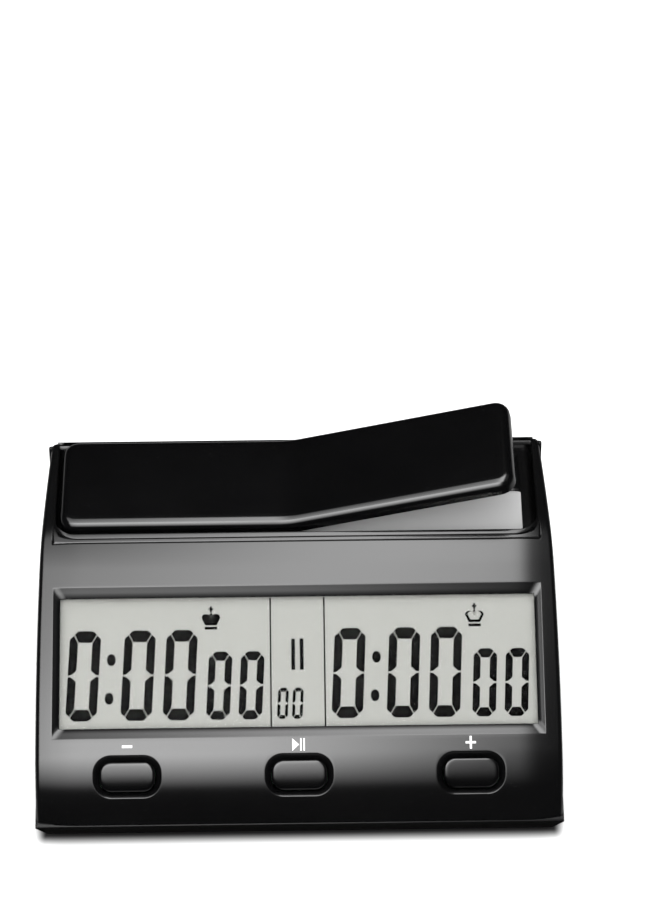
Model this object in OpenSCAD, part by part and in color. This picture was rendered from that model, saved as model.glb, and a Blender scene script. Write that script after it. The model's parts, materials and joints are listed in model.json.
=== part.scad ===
// Digital chess clock with a rocker on top, a sloping display face and three keys.
// Origin: middle of the footprint, on the table. Front faces -Y, +X is to the right, +Z up.

/* [Case] */
// Greatest width of the case, at the seam
case_w = 166.4; // [150:0.2:200]
// Length of the sloping face, from the nose to the top corner
face_len = 68; // [66:0.5:84]
// Slope of the face from the table, in degrees
face_slope = 27; // [22:0.5:32]
// Depth of the case behind the top corner of the face
top_d = 44; // [42:0.5:54]
// Radius of the rounded nose below the face
nose_r = 28; // [26:0.5:34]
// Steepness of the nose where it meets the seam, in degrees
nose_angle = 75; // [72:1:80]
// Radius that blends the face into the top
brow_r = 35; // [20:1:40]
// Wall thickness of both case halves
wall = 2.2; // [1.8:0.1:2.6]
// Radius of the barrelled sides, seen from above
side_r = 1246; // [900:10:3000]
// Draft of the sides, in degrees
side_draft = 1.6; // [0.5:0.1:3]
// Distance of the widest place behind the front of the case
widest_d = 44; // [30:1:60]

/* [Base] */
// Height of the base shell, from its underside to the seam
base_h = 6; // [5:0.5:9]
// How far the underside is drawn in from the seam
base_taper = 3.4; // [1.5:0.1:5]
// Height of the rubber feet below the base
foot_h = 1; // [0.8:0.1:2]
// Diameter of a rubber foot
foot_d = 10; // [8:0.5:12]
// Height of the locating lip inside the seam
lip_h = 2; // [1.5:0.1:3]
// Gap between the lip and the upper case
lip_gap = 0.15; // [0.1:0.01:0.3]

/* [Display] */
// Width of the display that shows
view_w = 149.4; // [120:0.2:151]
// Height of the display that shows
view_h = 41.6; // [34:0.2:42]
// Distance of the display's lower edge above the nose, along the face
view_u = 8.2; // [7:0.1:10]
// Width of the sloping frame at the sides of the display
bevel_side = 2.3; // [1:0.1:3]
// Width of the sloping frame above and below the display
bevel_end = 3.4; // [2:0.1:4]
// Depth of the sloping frame
bevel_depth = 1.6; // [1:0.1:1.8]
// Thickness of the clear window
lens_t = 1; // [0.8:0.1:1.5]
// Thickness of the liquid crystal panel
lcd_t = 2.8; // [2:0.1:3.2]
// Border of the panel round what shows
lcd_border = 2.4; // [1.5:0.1:3]
// Gap round the panel in its holder
lcd_gap = 0.3; // [0.1:0.05:0.5]

/* [Keys] */
// Width of a key cap
key_w = 17.2; // [14:0.2:20]
// Height of a key cap, along the face
key_h = 8.8; // [7:0.1:9.5]
// Corner radius of a key cap
key_r = 3.6; // [2:0.1:4.3]
// Distance of the key centres below the face's lower end
key_drop = 6.9; // [6:0.1:8]
// Distance between key centres
key_pitch = 53.4; // [40:0.2:55]
// Width of the sunken border round a key
dish = 1.95; // [1:0.05:2.5]
// Depth of the sunken border
dish_depth = 1.2; // [0.8:0.1:1.4]
// Height of a cap above the case surface
key_proud = 0.5; // [0:0.1:1.5]
// Gap round a key in its hole
key_gap = 0.2; // [0.1:0.05:0.4]
// Travel of a key
key_travel = 0.8; // [0.4:0.1:1.2]

/* [Rocker] */
// Length of each arm from the middle bend
arm_len = 72.8; // [66:0.2:86]
// Depth of the rocker from front to back
rocker_d = 37.2; // [34:0.2:46]
// Thickness of the rocker over its skirt
rocker_h = 4.8; // [4:0.1:7]
// Angle of each arm above level when the rocker is centred
arm_angle = 7.15; // [4:0.05:9]
// Height of the lowered arm above the top of the case
rocker_rise = 3.1; // [2:0.1:5]
// Depth of the pivot below the bend
pivot_drop = 20; // [17:0.5:23]
// Skin thickness of the rocker
rocker_wall = 1.8; // [1.4:0.1:2]
// Corner radius of the rocker, seen from above
rocker_r = 5; // [3:0.5:8]
// Gap between the rocker and the edge of its bay
bay_gap = 1.4; // [0.8:0.1:2]
// Diameter of the pivot pin
pin_d = 3; // [2.5:0.1:4]
// Radial running clearance of the rocker on its pin
pin_run = 0.05; // [0.02:0.01:0.09]
// Distance of the switch posts from the middle
post_x = 30; // [24:1:36]
// Diameter of a rubber stop under an arm
stop_d = 8; // [5:0.5:10]
// Distance of the rubber stops from the middle
stop_x = 58; // [45:1:62]

/* [Battery] */
// Diameter of the cell
cell_d = 14.5; // [14:0.1:15]
// Length of the cell's body without its cap
cell_len = 49.3; // [48:0.1:50]
// Distance of the cell's axis in front of the back wall
cell_back = 24; // [20:0.5:28]
// Thickness of the battery door
door_t = 1.4; // [1.2:0.1:1.5]
// Gap round the battery door
door_gap = 0.3; // [0.2:0.05:0.5]
// Unlatching travel of the battery door
door_travel = 6; // [3:0.5:8]

/* [Boards] */
// Thickness of the circuit boards
board_t = 1.6; // [1:0.2:1.6]
// Width of the main board
board_w = 138; // [130:1:139]
// Depth of the main board below the face
board_n = 12.5; // [12:0.1:14]
// Height of a push switch with its stem
push_h = 4.3; // [4.3:0.1:5]

/* [Hidden] */

fine = 64;               // roundness of bores, pins and screws
arc_steps = 14;          // flats along each rounded part of the side profile
side_steps = 14;         // flats along each barrelled side
seam_z = foot_h + base_h;
nose_run = nose_r * (sin(nose_angle) - sin(face_slope));
nose_rise = nose_r * (cos(face_slope) - cos(nose_angle));
face_run = face_len * cos(face_slope);
case_d = nose_run + face_run + top_d;
case_h = seam_z + nose_rise + face_len * sin(face_slope);
front_y = -case_d / 2;
back_y = case_d / 2;
face_y = front_y + nose_run;      // lower end of the flat face
face_z = seam_z + nose_rise;
brow_y = face_y + face_run;       // where face and top would meet without the blend
big = 400;
inside = case_w / 2 - wall;

// Screws, shared by every joint they hold
screw_d = 2.6;
screw_fit = 0.05;                 // radial gap of a screw in its pilot hole
small_screw_d = 2;
boss_d = 6;
small_boss_d = 5;

// Display, measured down the face normal
lens_n = wall;
lcd_n = lens_n + lens_t + 0.05;
lcd_w = view_w + 2 * lcd_border;
lcd_h = view_h + 2 * lcd_border;
view_mid = view_u + view_h / 2;
holder_rim = 1.6;
holder_back_n = lcd_n + lcd_t + lcd_gap;
top_screw_u = view_u + view_h + lcd_border + lcd_gap + holder_rim + small_boss_d / 2 + 0.3;
low_screw_u = 1;
board_screws = [for (x = [-board_w / 2 + 5, 0, board_w / 2 - 5]) [x, top_screw_u],
    for (x = [-key_pitch / 2, key_pitch / 2]) [x, low_screw_u]];
board_low_u = -12;
board_top_u = top_screw_u + 4;
zebra_t = 2.4;

// Keys
flange = 1.2;
flange_n = 7;
stem_d = 4;
key_u = -key_drop;
key_x = [-key_pitch, 0, key_pitch];
stem_rest = board_n - push_h - key_travel - 0.1;

// Rocker and its bay
rocker_top = case_h + rocker_rise;
pivot_z = rocker_top - pivot_drop * cos(arm_angle);
rest_end = arm_len + pivot_drop * sin(arm_angle);    // end of the lowered arm from the middle
bay_half = rest_end + bay_gap;
rocker_front = brow_y + 4.5;
rocker_mid = rocker_front + rocker_d / 2;
bay_front = rocker_front - bay_gap;
bay_r = rocker_r + bay_gap;
skirt_z = rocker_top - rocker_h;
gutter_z = skirt_z - 1.3;
ridge_z = rocker_top - rocker_wall - 0.4;
ridge_half = rest_end - rocker_wall - 1.4;
front_taper = 1.4;                // how far the base's foot is drawn in at its front
seam_bevel = 0.5;                 // bevel round the base's upper edge
back_rim = 1;                     // wall that closes the bay behind the rocker
ridge_root = 1;                   // how far the ridge's foot runs into the bay's front wall
ridge_flat = 9;                   // flat top of the ridge, front to back
hub_d = 9;
hub_len = 20;
web_t = 5;
post_d = 4;
ear_t = 3;
ear_gap = 0.3;
pin_len = hub_len + 2 * (ear_gap + ear_t);
slot_play = 0.6;
web_swing = (case_h - pivot_z) * sin(arm_angle);
stop_t = 1.4;
stop_gap = 0.1;

// Rocker board, hung under the bay on two bosses
rocker_board_z = pivot_z - hub_d / 2 - 1;
rocker_board_w = 2 * post_x + 26;
rocker_board_d = 16;
rocker_screw_x = post_x + 9;
post_bottom = rocker_board_z + push_h + 0.1;

// Battery bay in the base
floor_z = foot_h + wall;          // inner floor of the base
cell_y = back_y - cell_back;
cell_gap = 0.4;
cell_z = foot_h + door_t + cell_gap + cell_d / 2;
cap_len = 1.2;
plate_t = 0.4;
spring_len = 5;
cell_x0 = -(cell_len + cap_len + spring_len) / 2 + spring_len;
tray_half = (cell_len + cap_len + spring_len) / 2 + plate_t + 0.1;
tray_d = cell_d + 2 * cell_gap;
tray_wall = 2;
door_w = 2 * tray_half + 8;
door_d = tray_d + 2.4;
door_rail = 1;                    // reach of the rails that hold the door in its slot
rail_t = 0.7;

// Switch and buzzer on the base floor
switch_x = -58;
switch_y = cell_y;
knob_travel = 3;
knob_w = 3;
switch_post_h = 3.5;
switch_post_at = [for (s = [-1, 1]) [switch_x + s * 10, switch_y]];
buzzer_x = 58;
buzzer_y = cell_y - 2;
buzzer_d = 23;
ring_h = 3;
lead_notch = 13;                  // notch in the ring for the buzzer leads
strip_screw_len = 3.4;
buzzer_z = floor_z + ring_h;       // underside of the strip over the buzzer
buzzer_post_at = [for (s = [-1, 1]) [buzzer_x, buzzer_y + s * (buzzer_d / 2 + 4.6)]];
case_screw_at = [for (sx = [-1, 1]) [sx * (inside - boss_d / 2 - 4.2), front_y + 12],
    for (sx = [-1, 1]) [sx * (inside - boss_d / 2 - 6.2), back_y - 9.5]];
screw_sink = 2.2;
foot_seat = 0.5;
foot_at = [for (sx = [-1, 1], y = [front_y + 23, back_y - 21]) [sx * (inside - 12), y]];
lip_t = 1.6;
lip_root = 1.5;                   // depth by which the lip runs down the base wall
wire_d = 1.2;
tag_z = cell_z + 8.75;             // where the leads meet the tags of the cell contacts

black = [0.03, 0.03, 0.032];
board_green = [0.05, 0.3, 0.14];

// ---- shared shapes ----

// Puts things on the face: x across, y up the face from its lower end, z out of it
module on_face(u = 0, n = 0, x = 0)
    translate([0, face_y, face_z]) rotate([face_slope, 0, 0]) translate([x, u, n]) children();

// Points of an arc in the Y-Z plane; angles are slopes of the surface
function arc(cy, cz, r, from, to, steps = arc_steps) =
    [for (i = [0 : steps]) let (t = from + (to - from) * i / steps) [cy - r * sin(t), cz + r * cos(t)]];

// Side profile of the case, drawn in by inset on every side except below
function profile(inset, low) =
    let (nose_cy = front_y + nose_r * sin(nose_angle), nose_cz = seam_z - nose_r * cos(nose_angle),
         brow_cy = brow_y + brow_r * tan(face_slope / 2), brow_cz = case_h - brow_r)
    concat([[front_y + inset, low]],
        arc(nose_cy, nose_cz, nose_r - inset, nose_angle, face_slope),
        arc(brow_cy, brow_cz, brow_r - inset, face_slope, 0),
        [[back_y - inset - 1.5, case_h - inset], [back_y - inset, case_h - inset - 1.5],
         [back_y - inset, low]]);

// Half width of the case at the seam: the sides are barrelled
function half_w(y) = let (d = y - front_y - widest_d) case_w / 2 - (side_r - sqrt(side_r * side_r - d * d));
function side_points(inset, from, to) = [for (i = [0 : side_steps])
    let (y = from + (to - from) * i / side_steps) [half_w(y) - inset, y]];

// Space between the barrelled, drafted sides, drawn in by inset
module sides(inset) intersection_for (m = [0, 1]) mirror([m, 0, 0])
    translate([case_w / 2, 0, seam_z]) rotate([0, -side_draft, 0]) translate([-case_w / 2, 0, -big / 4])
        linear_extrude(big / 2) polygon(concat(side_points(inset, front_y - 1, back_y + 1),
            [[-case_w, back_y + 1], [-case_w, front_y - 1]]));

// Outer form of the case above the seam, drawn in by inset
module case_form(inset, low = seam_z) intersection() {
    rotate([90, 0, 90]) translate([0, 0, -big / 2]) linear_extrude(big) polygon(profile(inset, low));
    sides(inset);
}

// Rectangle with round corners, made of plain squares and circles
module round_rect(w, h, r) {
    square([w - 2 * r, h], center = true);
    square([w, h - 2 * r], center = true);
    for (x = [-1, 1], y = [-1, 1]) translate([x * (w / 2 - r), y * (h / 2 - r)]) circle(r, $fn = fine);
}

module screw(d, len, head_d, head_h) {
    cylinder(d = d, h = len, $fn = fine);
    translate([0, 0, -head_h]) difference() {
        cylinder(d = head_d, h = head_h, $fn = fine);
        translate([0, 0, head_h * 0.25]) cube([head_d * 0.7, head_d * 0.16, head_h * 0.5 + 1], center = true);
        translate([0, 0, head_h * 0.25]) cube([head_d * 0.16, head_d * 0.7, head_h * 0.5 + 1], center = true);
    }
}

// Round tube swept along a list of points
function unit(v) = v / norm(v);
function direction(p, i) = unit(p[min(i + 1, len(p) - 1)] - p[max(i - 1, 0)]);
function side_of(d) = abs(d.z) > 0.9 ? unit(cross(d, [1, 0, 0])) : unit(cross(d, [0, 0, 1]));
module wire(points, d, sides = 8) {
    ring = [for (i = [0 : len(points) - 1]) let (t = direction(points, i), a = side_of(t), b = cross(t, a))
        for (k = [0 : sides - 1]) points[i] + d / 2 * (cos(360 * k / sides) * a + sin(360 * k / sides) * b)];
    last = (len(points) - 1) * sides;
    polyhedron(ring, concat(
        [[for (k = [0 : sides - 1]) k]],
        [[for (k = [sides - 1 : -1 : 0]) last + k]],
        [for (i = [0 : len(points) - 2], k = [0 : sides - 1]) let (m = (k + 1) % sides)
            [i * sides + k, (i + 1) * sides + k, (i + 1) * sides + m, i * sides + m]]));
}

// ---- case ----

// Sloping frame round the display: a straight-sided funnel from the face to the window
module window_cut() on_face(view_mid) {
    translate([0, 0, -wall - 1]) linear_extrude(wall + 2) square([view_w, view_h], center = true);
    hull() {
        translate([0, 0, -bevel_depth]) linear_extrude(0.01) square([view_w, view_h], center = true);
        translate([0, 0, 0.5]) linear_extrude(0.01)
            square([view_w + 2 * bevel_side * (1 + 0.5 / bevel_depth),
                view_h + 2 * bevel_end * (1 + 0.5 / bevel_depth)], center = true);
    }
}

module key_outline(grow) round_rect(key_w + 2 * grow, key_h + 2 * grow, key_r + grow);

module key_cuts() for (x = key_x) {
    difference() {
        on_face(key_u, -20, x) linear_extrude(30) key_outline(dish);
        case_form(dish_depth, -10);
    }
    on_face(key_u, -20, x) linear_extrude(30) key_outline(key_gap);
}

// The rocker's bay, open at the back; grow gives the block that walls and floor are made from
module bay(grow = 0) translate([0, 0, gutter_z - grow]) linear_extrude(case_h) {
    r = bay_r + grow;
    depth = back_y - back_rim - bay_front - bay_r;
    translate([0, bay_front + bay_r + depth / 2]) square([2 * (bay_half + grow), depth], center = true);
    translate([0, bay_front + bay_r]) square([2 * (bay_half - bay_r), 2 * r], center = true);
    for (s = [-1, 1]) translate([s * (bay_half - bay_r), bay_front + bay_r]) circle(r, $fn = fine);
}

// Ridge under the rocker, seen from the side: it fills the hollow of the lowered arm
function ridge_points() = [
    [bay_front - ridge_root, gutter_z - 1], [bay_front - ridge_root, gutter_z - ridge_root / 4],
    [rocker_mid - ridge_flat / 2, ridge_z], [rocker_mid + ridge_flat / 2, ridge_z],
    [rocker_front + rocker_d - rocker_wall - 1, gutter_z + 0.8],
    [rocker_front + rocker_d - rocker_wall - 1, gutter_z - 1]];

module ridge_form(inset, low) intersection() {
    rotate([90, 0, 90]) translate([0, 0, -ridge_half + inset]) linear_extrude(2 * (ridge_half - inset))
        polygon([for (p = ridge_points()) [p.x + (p.x < rocker_mid ? inset : -inset), p.y - inset]]);
    translate([0, 0, low + big / 2]) cube(big, center = true);
}

// Where a part of the rocker at distance x and height z passes through the ridge
module rocker_openings() {
    translate([0, rocker_mid, gutter_z - wall - 1 + big / 4])
        cube([web_t + 2 * (web_swing + slot_play), hub_len + 2 * ear_gap, big / 2], center = true);
    for (s = [-1, 1]) let (reach = (ridge_z - pivot_z) * sin(2 * arm_angle), w = post_d + 2 * slot_play)
        translate([s * (post_x - reach / 2), rocker_mid, gutter_z - wall - 1 + big / 4])
            cube([w + reach, w, big / 2], center = true);
}

module stop_cuts() for (s = [-1, 1])
    translate([s * stop_x, rocker_mid, rocker_top - rocker_wall - stop_gap - stop_t])
        cylinder(d = stop_d + 0.2, h = big, $fn = fine);

module pilot(d, len) cylinder(d = d + 2 * screw_fit, h = len, $fn = fine);

// Outer skin with the bay let into its top; the ridge in the bay is hollow below
module case_skin() difference() {
    union() {
        difference() {
            case_form(0);
            difference() {
                case_form(wall, seam_z - 1);
                bay(wall);
            }
            bay();
        }
        ridge_form(0, gutter_z - wall / 2);
    }
    ridge_form(wall, gutter_z - wall - 1);
}

// Ears that carry the pivot pin, hung from the ridge
module pivot_ears() for (s = [-1, 1]) translate([0, rocker_mid + s * (hub_len / 2 + ear_gap + ear_t / 2), 0])
    rotate([90, 0, 0]) linear_extrude(ear_t, center = true) {
        translate([0, pivot_z]) circle(d = hub_d, $fn = fine);
        translate([-hub_d / 2, pivot_z]) square([hub_d, ridge_z - wall / 2 - pivot_z]);
    }

// Height of the nose's outer surface at a distance behind the front
function nose_z(d) = let (t = asin(sin(nose_angle) - d / nose_r)) seam_z + nose_r * (cos(t) - cos(nose_angle));

module case_bosses() {
    for (s = [-1, 1]) translate([s * rocker_screw_x, rocker_mid, rocker_board_z])
        cylinder(d = small_boss_d, h = ridge_z - wall / 2 - rocker_board_z, $fn = fine);
    for (p = board_screws) on_face(p.y, -board_n, p.x)
        cylinder(d = small_boss_d, h = board_n - wall / 2, $fn = fine);
    for (p = case_screw_at) let (top = p.y < 0 ? nose_z(p.y - boss_d / 2 - front_y) - 0.4 : gutter_z - wall / 2)
        translate([p.x, p.y, seam_z + 0.3]) cylinder(d = boss_d, h = top - seam_z - 0.3, $fn = fine);
}

module upper_case() color(black) difference() {
    union() {
        case_skin();
        pivot_ears();
        case_bosses();
    }
    window_cut();
    key_cuts();
    rocker_openings();
    stop_cuts();
    translate([0, rocker_mid, pivot_z]) rotate([90, 0, 0])
        cylinder(d = pin_d + 0.04, h = pin_len + 2, center = true, $fn = fine);
    for (s = [-1, 1]) translate([s * rocker_screw_x, rocker_mid, rocker_board_z - 0.1]) pilot(small_screw_d, 7);
    for (p = board_screws) on_face(p.y, -board_n - 0.1, p.x) pilot(small_screw_d, 6.5);
    for (p = case_screw_at) translate([p.x, p.y, seam_z]) pilot(screw_d, 9);
}

module base_shell() color(black) difference() {
    union() {
        difference() {
            hull() {
                translate([0, 0, seam_z - 0.6]) linear_extrude(0.6) base_plan(seam_bevel);
                translate([0, 0, seam_z - 0.6 - seam_bevel]) linear_extrude(0.6) base_plan(0);
                translate([0, 0, foot_h]) linear_extrude(0.6) base_plan(base_taper, front_taper);
            }
            hull() {
                translate([0, 0, seam_z]) linear_extrude(1) base_plan(wall);
                translate([0, 0, floor_z]) linear_extrude(0.6) base_plan(base_taper + wall);
            }
        }
        // lip that locates the upper case and leans back with its nose
        intersection() {
            translate([0, 0, seam_z - lip_root]) linear_extrude(lip_root + lip_h) difference() {
                base_plan(wall + lip_gap);
                base_plan(wall + lip_gap + lip_t);
            }
            case_form(wall + lip_gap, seam_z - lip_root);
        }
        // battery tray
        translate([0, cell_y, foot_h + 1]) linear_extrude(cell_z - foot_h) difference() {
            square([2 * (tray_half + tray_wall), tray_d + 2 * tray_wall], center = true);
            square([2 * tray_half, tray_d], center = true);
        }
        // bosses round the case screws
        for (p = case_screw_at) translate([p.x, p.y, foot_h + 1])
            cylinder(d = boss_d + 3, h = seam_z - foot_h - 1, $fn = fine);
        // ring and posts of the buzzer, posts of the power switch
        translate([buzzer_x, buzzer_y, floor_z - 0.5]) difference() {
            cylinder(d = buzzer_d + 4, h = ring_h + 0.5, $fn = fine);
            translate([0, 0, -1]) cylinder(d = buzzer_d + 0.4, h = ring_h + 3, $fn = fine);
            translate([0, -buzzer_d / 2, ring_h + 0.5]) cube([lead_notch, 8, 2 * ring_h], center = true);
        }
        for (p = buzzer_post_at) translate([p.x, p.y, floor_z - 0.5])
            cylinder(d = small_boss_d, h = buzzer_z - floor_z + 0.5, $fn = fine);
        for (p = switch_post_at) translate([p.x, p.y, floor_z - 0.5])
            cylinder(d = small_boss_d, h = switch_post_h + 0.5, $fn = fine);
    }
    // battery opening with a rebate for the door and its travel
    translate([0, cell_y, 0]) linear_extrude(floor_z + 1) square([2 * tray_half, tray_d], center = true);
    door_space();
    for (p = case_screw_at) translate([p.x, p.y, 0]) {
        cylinder(d = screw_d + 0.6, h = seam_z + 1, $fn = fine);
        cylinder(d = 5.6, h = foot_h + screw_sink, $fn = fine);
    }
    // slot of the power switch, in a shallow recess
    translate([switch_x, switch_y, 0]) linear_extrude(floor_z + 1)
        square([knob_travel + knob_w + 0.8, knob_w + 0.4], center = true);
    translate([switch_x, switch_y, 0]) linear_extrude(foot_h + 0.8) square([14, 7], center = true);
    for (p = switch_post_at) translate([p.x, p.y, floor_z]) pilot(small_screw_d, switch_post_h + 1);
    for (p = buzzer_post_at) translate([p.x, p.y, floor_z]) pilot(small_screw_d, buzzer_z);
    // sound holes
    for (a = [0 : 60 : 300]) translate([buzzer_x + 4 * cos(a), buzzer_y + 4 * sin(a), 0])
        cylinder(d = 1.6, h = floor_z + 1, $fn = fine);
    // seats of the rubber feet
    for (p = foot_at) translate([p.x, p.y, 0]) cylinder(d = foot_d + 0.2, h = foot_h + foot_seat, $fn = fine);
}

// Plan of the base, drawn in by inset, and in front by its own inset where one is given
module base_plan(inset, front = undef) {
    right = side_points(inset, front_y + (is_undef(front) ? inset : front), back_y - inset);
    polygon(concat(right, [for (i = [side_steps : -1 : 0]) [-right[i].x, right[i].y]]));
}

module rubber_feet() color([0.06, 0.06, 0.06]) for (p = foot_at)
    translate([p.x, p.y, 0]) cylinder(d = foot_d, h = foot_h + foot_seat, $fn = fine);

module case_screws() color("silver") for (p = case_screw_at)
    translate([p.x, p.y, foot_h + screw_sink]) screw(screw_d, 12, 5, 1.8);

// ---- rocker ----

// One arm of the rocker, level, from the bend outwards; shrink draws the walls in
module arm(shrink, top, h) {
    overlap = rocker_h * tan(arm_angle) + 0.2;
    translate([0, rocker_mid, top - h]) linear_extrude(h) {
        r = rocker_r - shrink;
        translate([-overlap, -rocker_d / 2 + shrink]) square([arm_len - shrink - r + overlap, rocker_d - 2 * shrink]);
        translate([-overlap, -rocker_d / 2 + rocker_r]) square([arm_len - shrink + overlap, rocker_d - 2 * rocker_r]);
        for (s = [-1, 1]) translate([arm_len - shrink - r, s * (rocker_d / 2 - rocker_r)]) circle(r, $fn = fine);
    }
}

// Both arms of the centred rocker about its bend
module both_arms(shrink, top, h) for (m = [0, 1]) mirror([m, 0, 0])
    translate([0, 0, pivot_z + pivot_drop]) rotate([0, -arm_angle, 0]) translate([0, 0, -pivot_z - pivot_drop])
        arm(shrink, pivot_z + pivot_drop + top, h);

module rocker_lever() color(black)
    translate([0, 0, pivot_z]) rotate([0, -arm_angle, 0]) translate([0, 0, -pivot_z]) {
        difference() {
            both_arms(0, 0, rocker_h);
            both_arms(rocker_wall, -rocker_wall, rocker_h);
        }
        // web and hub on the pivot pin
        difference() {
            union() {
                translate([0, rocker_mid, (pivot_z + pivot_z + pivot_drop - rocker_wall / 2) / 2])
                    cube([web_t, hub_len, pivot_drop - rocker_wall / 2], center = true);
                translate([0, rocker_mid, pivot_z]) rotate([90, 0, 0])
                    cylinder(d = hub_d, h = hub_len, center = true, $fn = fine);
            }
            translate([0, rocker_mid, pivot_z]) rotate([90, 0, 0])
                cylinder(d = pin_d + 2 * pin_run, h = hub_len + 2, center = true, $fn = fine);
        }
        // posts that work the two switches
        for (s = [-1, 1]) translate([0, 0, pivot_z]) rotate([0, s * -arm_angle, 0])
            translate([s * post_x, rocker_mid, post_bottom - pivot_z])
                cylinder(d = post_d, h = rocker_top - rocker_wall / 2 - post_bottom, $fn = fine);
    }

module rocker_pivot_pin() color("silver") translate([0, rocker_mid, pivot_z]) rotate([90, 0, 0])
    cylinder(d = pin_d, h = pin_len, center = true, $fn = fine);

module rocker_stops() color([0.1, 0.1, 0.1]) for (s = [-1, 1])
    translate([s * stop_x, rocker_mid, rocker_top - rocker_wall - stop_gap - stop_t])
        cylinder(d = stop_d, h = stop_t, $fn = fine);

// ---- display ----

module window_lens() color([0.85, 0.88, 0.88, 0.3]) on_face(view_mid, -lens_n - lens_t)
    linear_extrude(lens_t) square([lcd_w, lcd_h], center = true);

module lcd_panel() color([0.78, 0.79, 0.76]) on_face(view_mid, -lcd_n - lcd_t)
    linear_extrude(lcd_t) square([lcd_w, lcd_h], center = true);

module lcd_holder() color([0.85, 0.85, 0.82]) on_face(view_mid) difference() {
    translate([0, 0, -holder_back_n - 1.2]) linear_extrude(holder_back_n + 1.2 - lens_n - 0.05)
        square([lcd_w + 2 * (lcd_gap + holder_rim), lcd_h + 2 * (lcd_gap + holder_rim)], center = true);
    translate([0, 0, -holder_back_n]) linear_extrude(big)
        square([lcd_w + 2 * lcd_gap, lcd_h + 2 * lcd_gap], center = true);
    translate([0, 0, -holder_back_n - 3]) linear_extrude(big)
        square([lcd_w - 8, lcd_h - 2 * (zebra_t + 4)], center = true);
    for (s = [-1, 1]) translate([0, s * (lcd_h / 2 - 1 - zebra_t / 2), -holder_back_n - 3]) linear_extrude(10)
        square([board_w - 6, zebra_t + 0.4], center = true);
}

module zebra_strips() color([0.2, 0.2, 0.22]) for (s = [-1, 1])
    on_face(view_mid + s * (lcd_h / 2 - 1 - zebra_t / 2), -board_n)
        linear_extrude(board_n - lcd_n - lcd_t) square([board_w - 8, zebra_t], center = true);

// ---- main board ----

module main_board() color(board_green) difference() {
    on_face((board_low_u + board_top_u) / 2, -board_n - board_t)
        linear_extrude(board_t) square([board_w, board_top_u - board_low_u], center = true);
    for (p = board_screws) on_face(p.y, -board_n - board_t - 1, p.x)
        cylinder(d = small_screw_d + 0.4, h = board_t + 2, $fn = fine);
}

module main_board_screws() color("silver") for (p = board_screws)
    on_face(p.y, -board_n - board_t, p.x) screw(small_screw_d, 6, 4, 1.4);

module controller_blob() color([0.02, 0.02, 0.02]) on_face(30, -board_n - board_t) mirror([0, 0, 1])
    intersection() {
        translate([0, 0, -20.5]) sphere(r = 22.5, $fn = 96);
        cylinder(d = 18, h = 5, $fn = fine);
    }

module quartz_crystal() color("silver") on_face(20, -board_n - board_t - 1.6, 22) rotate([0, 90, 0]) {
    cylinder(d = 3, h = 8, $fn = fine);
    for (s = [-1, 1]) translate([0, s * 0.6, -2]) cylinder(d = 0.5, h = 2, $fn = fine);
}

module board_capacitors() color([0.15, 0.15, 0.4]) for (x = [-30, -20, 40])
    on_face(14, -board_n - board_t - 7, x) cylinder(d = 5, h = 7, $fn = fine);

module board_resistors() color([0.1, 0.1, 0.1]) for (i = [0 : 5])
    on_face(42, -board_n - board_t - 0.5, -30 + 6 * i) translate([-1.6, -0.8, 0]) cube([3.2, 1.6, 0.5]);

// ---- keys ----

module push_switch() {
    translate([-3, -3, 0]) cube([6, 6, push_h - 0.8]);
    cylinder(d = 3.5, h = push_h, $fn = fine);
}

module key_switches() color([0.25, 0.25, 0.27]) for (x = key_x) on_face(key_u, -board_n, x) push_switch();

module key(x) color(black) {
    intersection() {
        on_face(key_u, -flange_n, x) linear_extrude(20) key_outline(0);
        case_form(-key_proud, -10);
    }
    intersection() {
        on_face(key_u, -flange_n, x) linear_extrude(20) key_outline(flange);
        case_form(wall + 0.1, -10);
    }
    on_face(key_u, -stem_rest, x) cylinder(d = stem_d, h = stem_rest - flange_n + 0.5, $fn = fine);
}

module key_minus() key(key_x[0]);
module key_play() key(key_x[1]);
module key_plus() key(key_x[2]);

// ---- rocker board ----

module rocker_board() color(board_green) difference() {
    translate([0, rocker_mid, rocker_board_z - board_t / 2])
        cube([rocker_board_w, rocker_board_d, board_t], center = true);
    for (s = [-1, 1]) translate([s * rocker_screw_x, rocker_mid, rocker_board_z - board_t - 1])
        cylinder(d = small_screw_d + 0.4, h = board_t + 2, $fn = fine);
}

module rocker_switches() color([0.25, 0.25, 0.27]) for (s = [-1, 1])
    translate([s * post_x, rocker_mid, rocker_board_z]) push_switch();

module rocker_board_screws() color("silver") for (s = [-1, 1])
    translate([s * rocker_screw_x, rocker_mid, rocker_board_z - board_t]) screw(small_screw_d, 6, 4, 1.4);

// ---- buzzer ----

module buzzer() color([0.8, 0.65, 0.3]) translate([buzzer_x, buzzer_y, floor_z]) {
    cylinder(d = buzzer_d, h = 0.4, $fn = fine);
    translate([0, 0, 0.4]) cylinder(d = 14, h = 0.3, $fn = fine);
}

// Strip that holds the buzzer down in its ring
module buzzer_strip() color("silver") difference() {
    translate([buzzer_x, buzzer_y, 0]) {
        translate([-3, buzzer_post_at[0].y - buzzer_y - 3, buzzer_z]) cube([6, 2 * (buzzer_d / 2 + 4.6) + 6, 0.6]);
        translate([-3, -3, floor_z + 0.7]) cube([6, 6, buzzer_z - floor_z - 0.1]);
    }
    for (p = buzzer_post_at) translate([p.x, p.y, buzzer_z - 1]) cylinder(d = small_screw_d + 0.4, h = 4, $fn = fine);
}

module buzzer_screws() color("silver") for (p = buzzer_post_at)
    translate([p.x, p.y, buzzer_z + 0.6]) mirror([0, 0, 1]) screw(small_screw_d, strip_screw_len, 3.8, 1.2);

// ---- battery ----

module battery_cell() color([0.1, 0.35, 0.2]) translate([cell_x0, cell_y, cell_z]) rotate([0, 90, 0]) {
    cylinder(d = cell_d, h = cell_len, $fn = fine);
    translate([0, 0, cell_len]) cylinder(d = 5.5, h = cap_len, $fn = fine);
}

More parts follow.
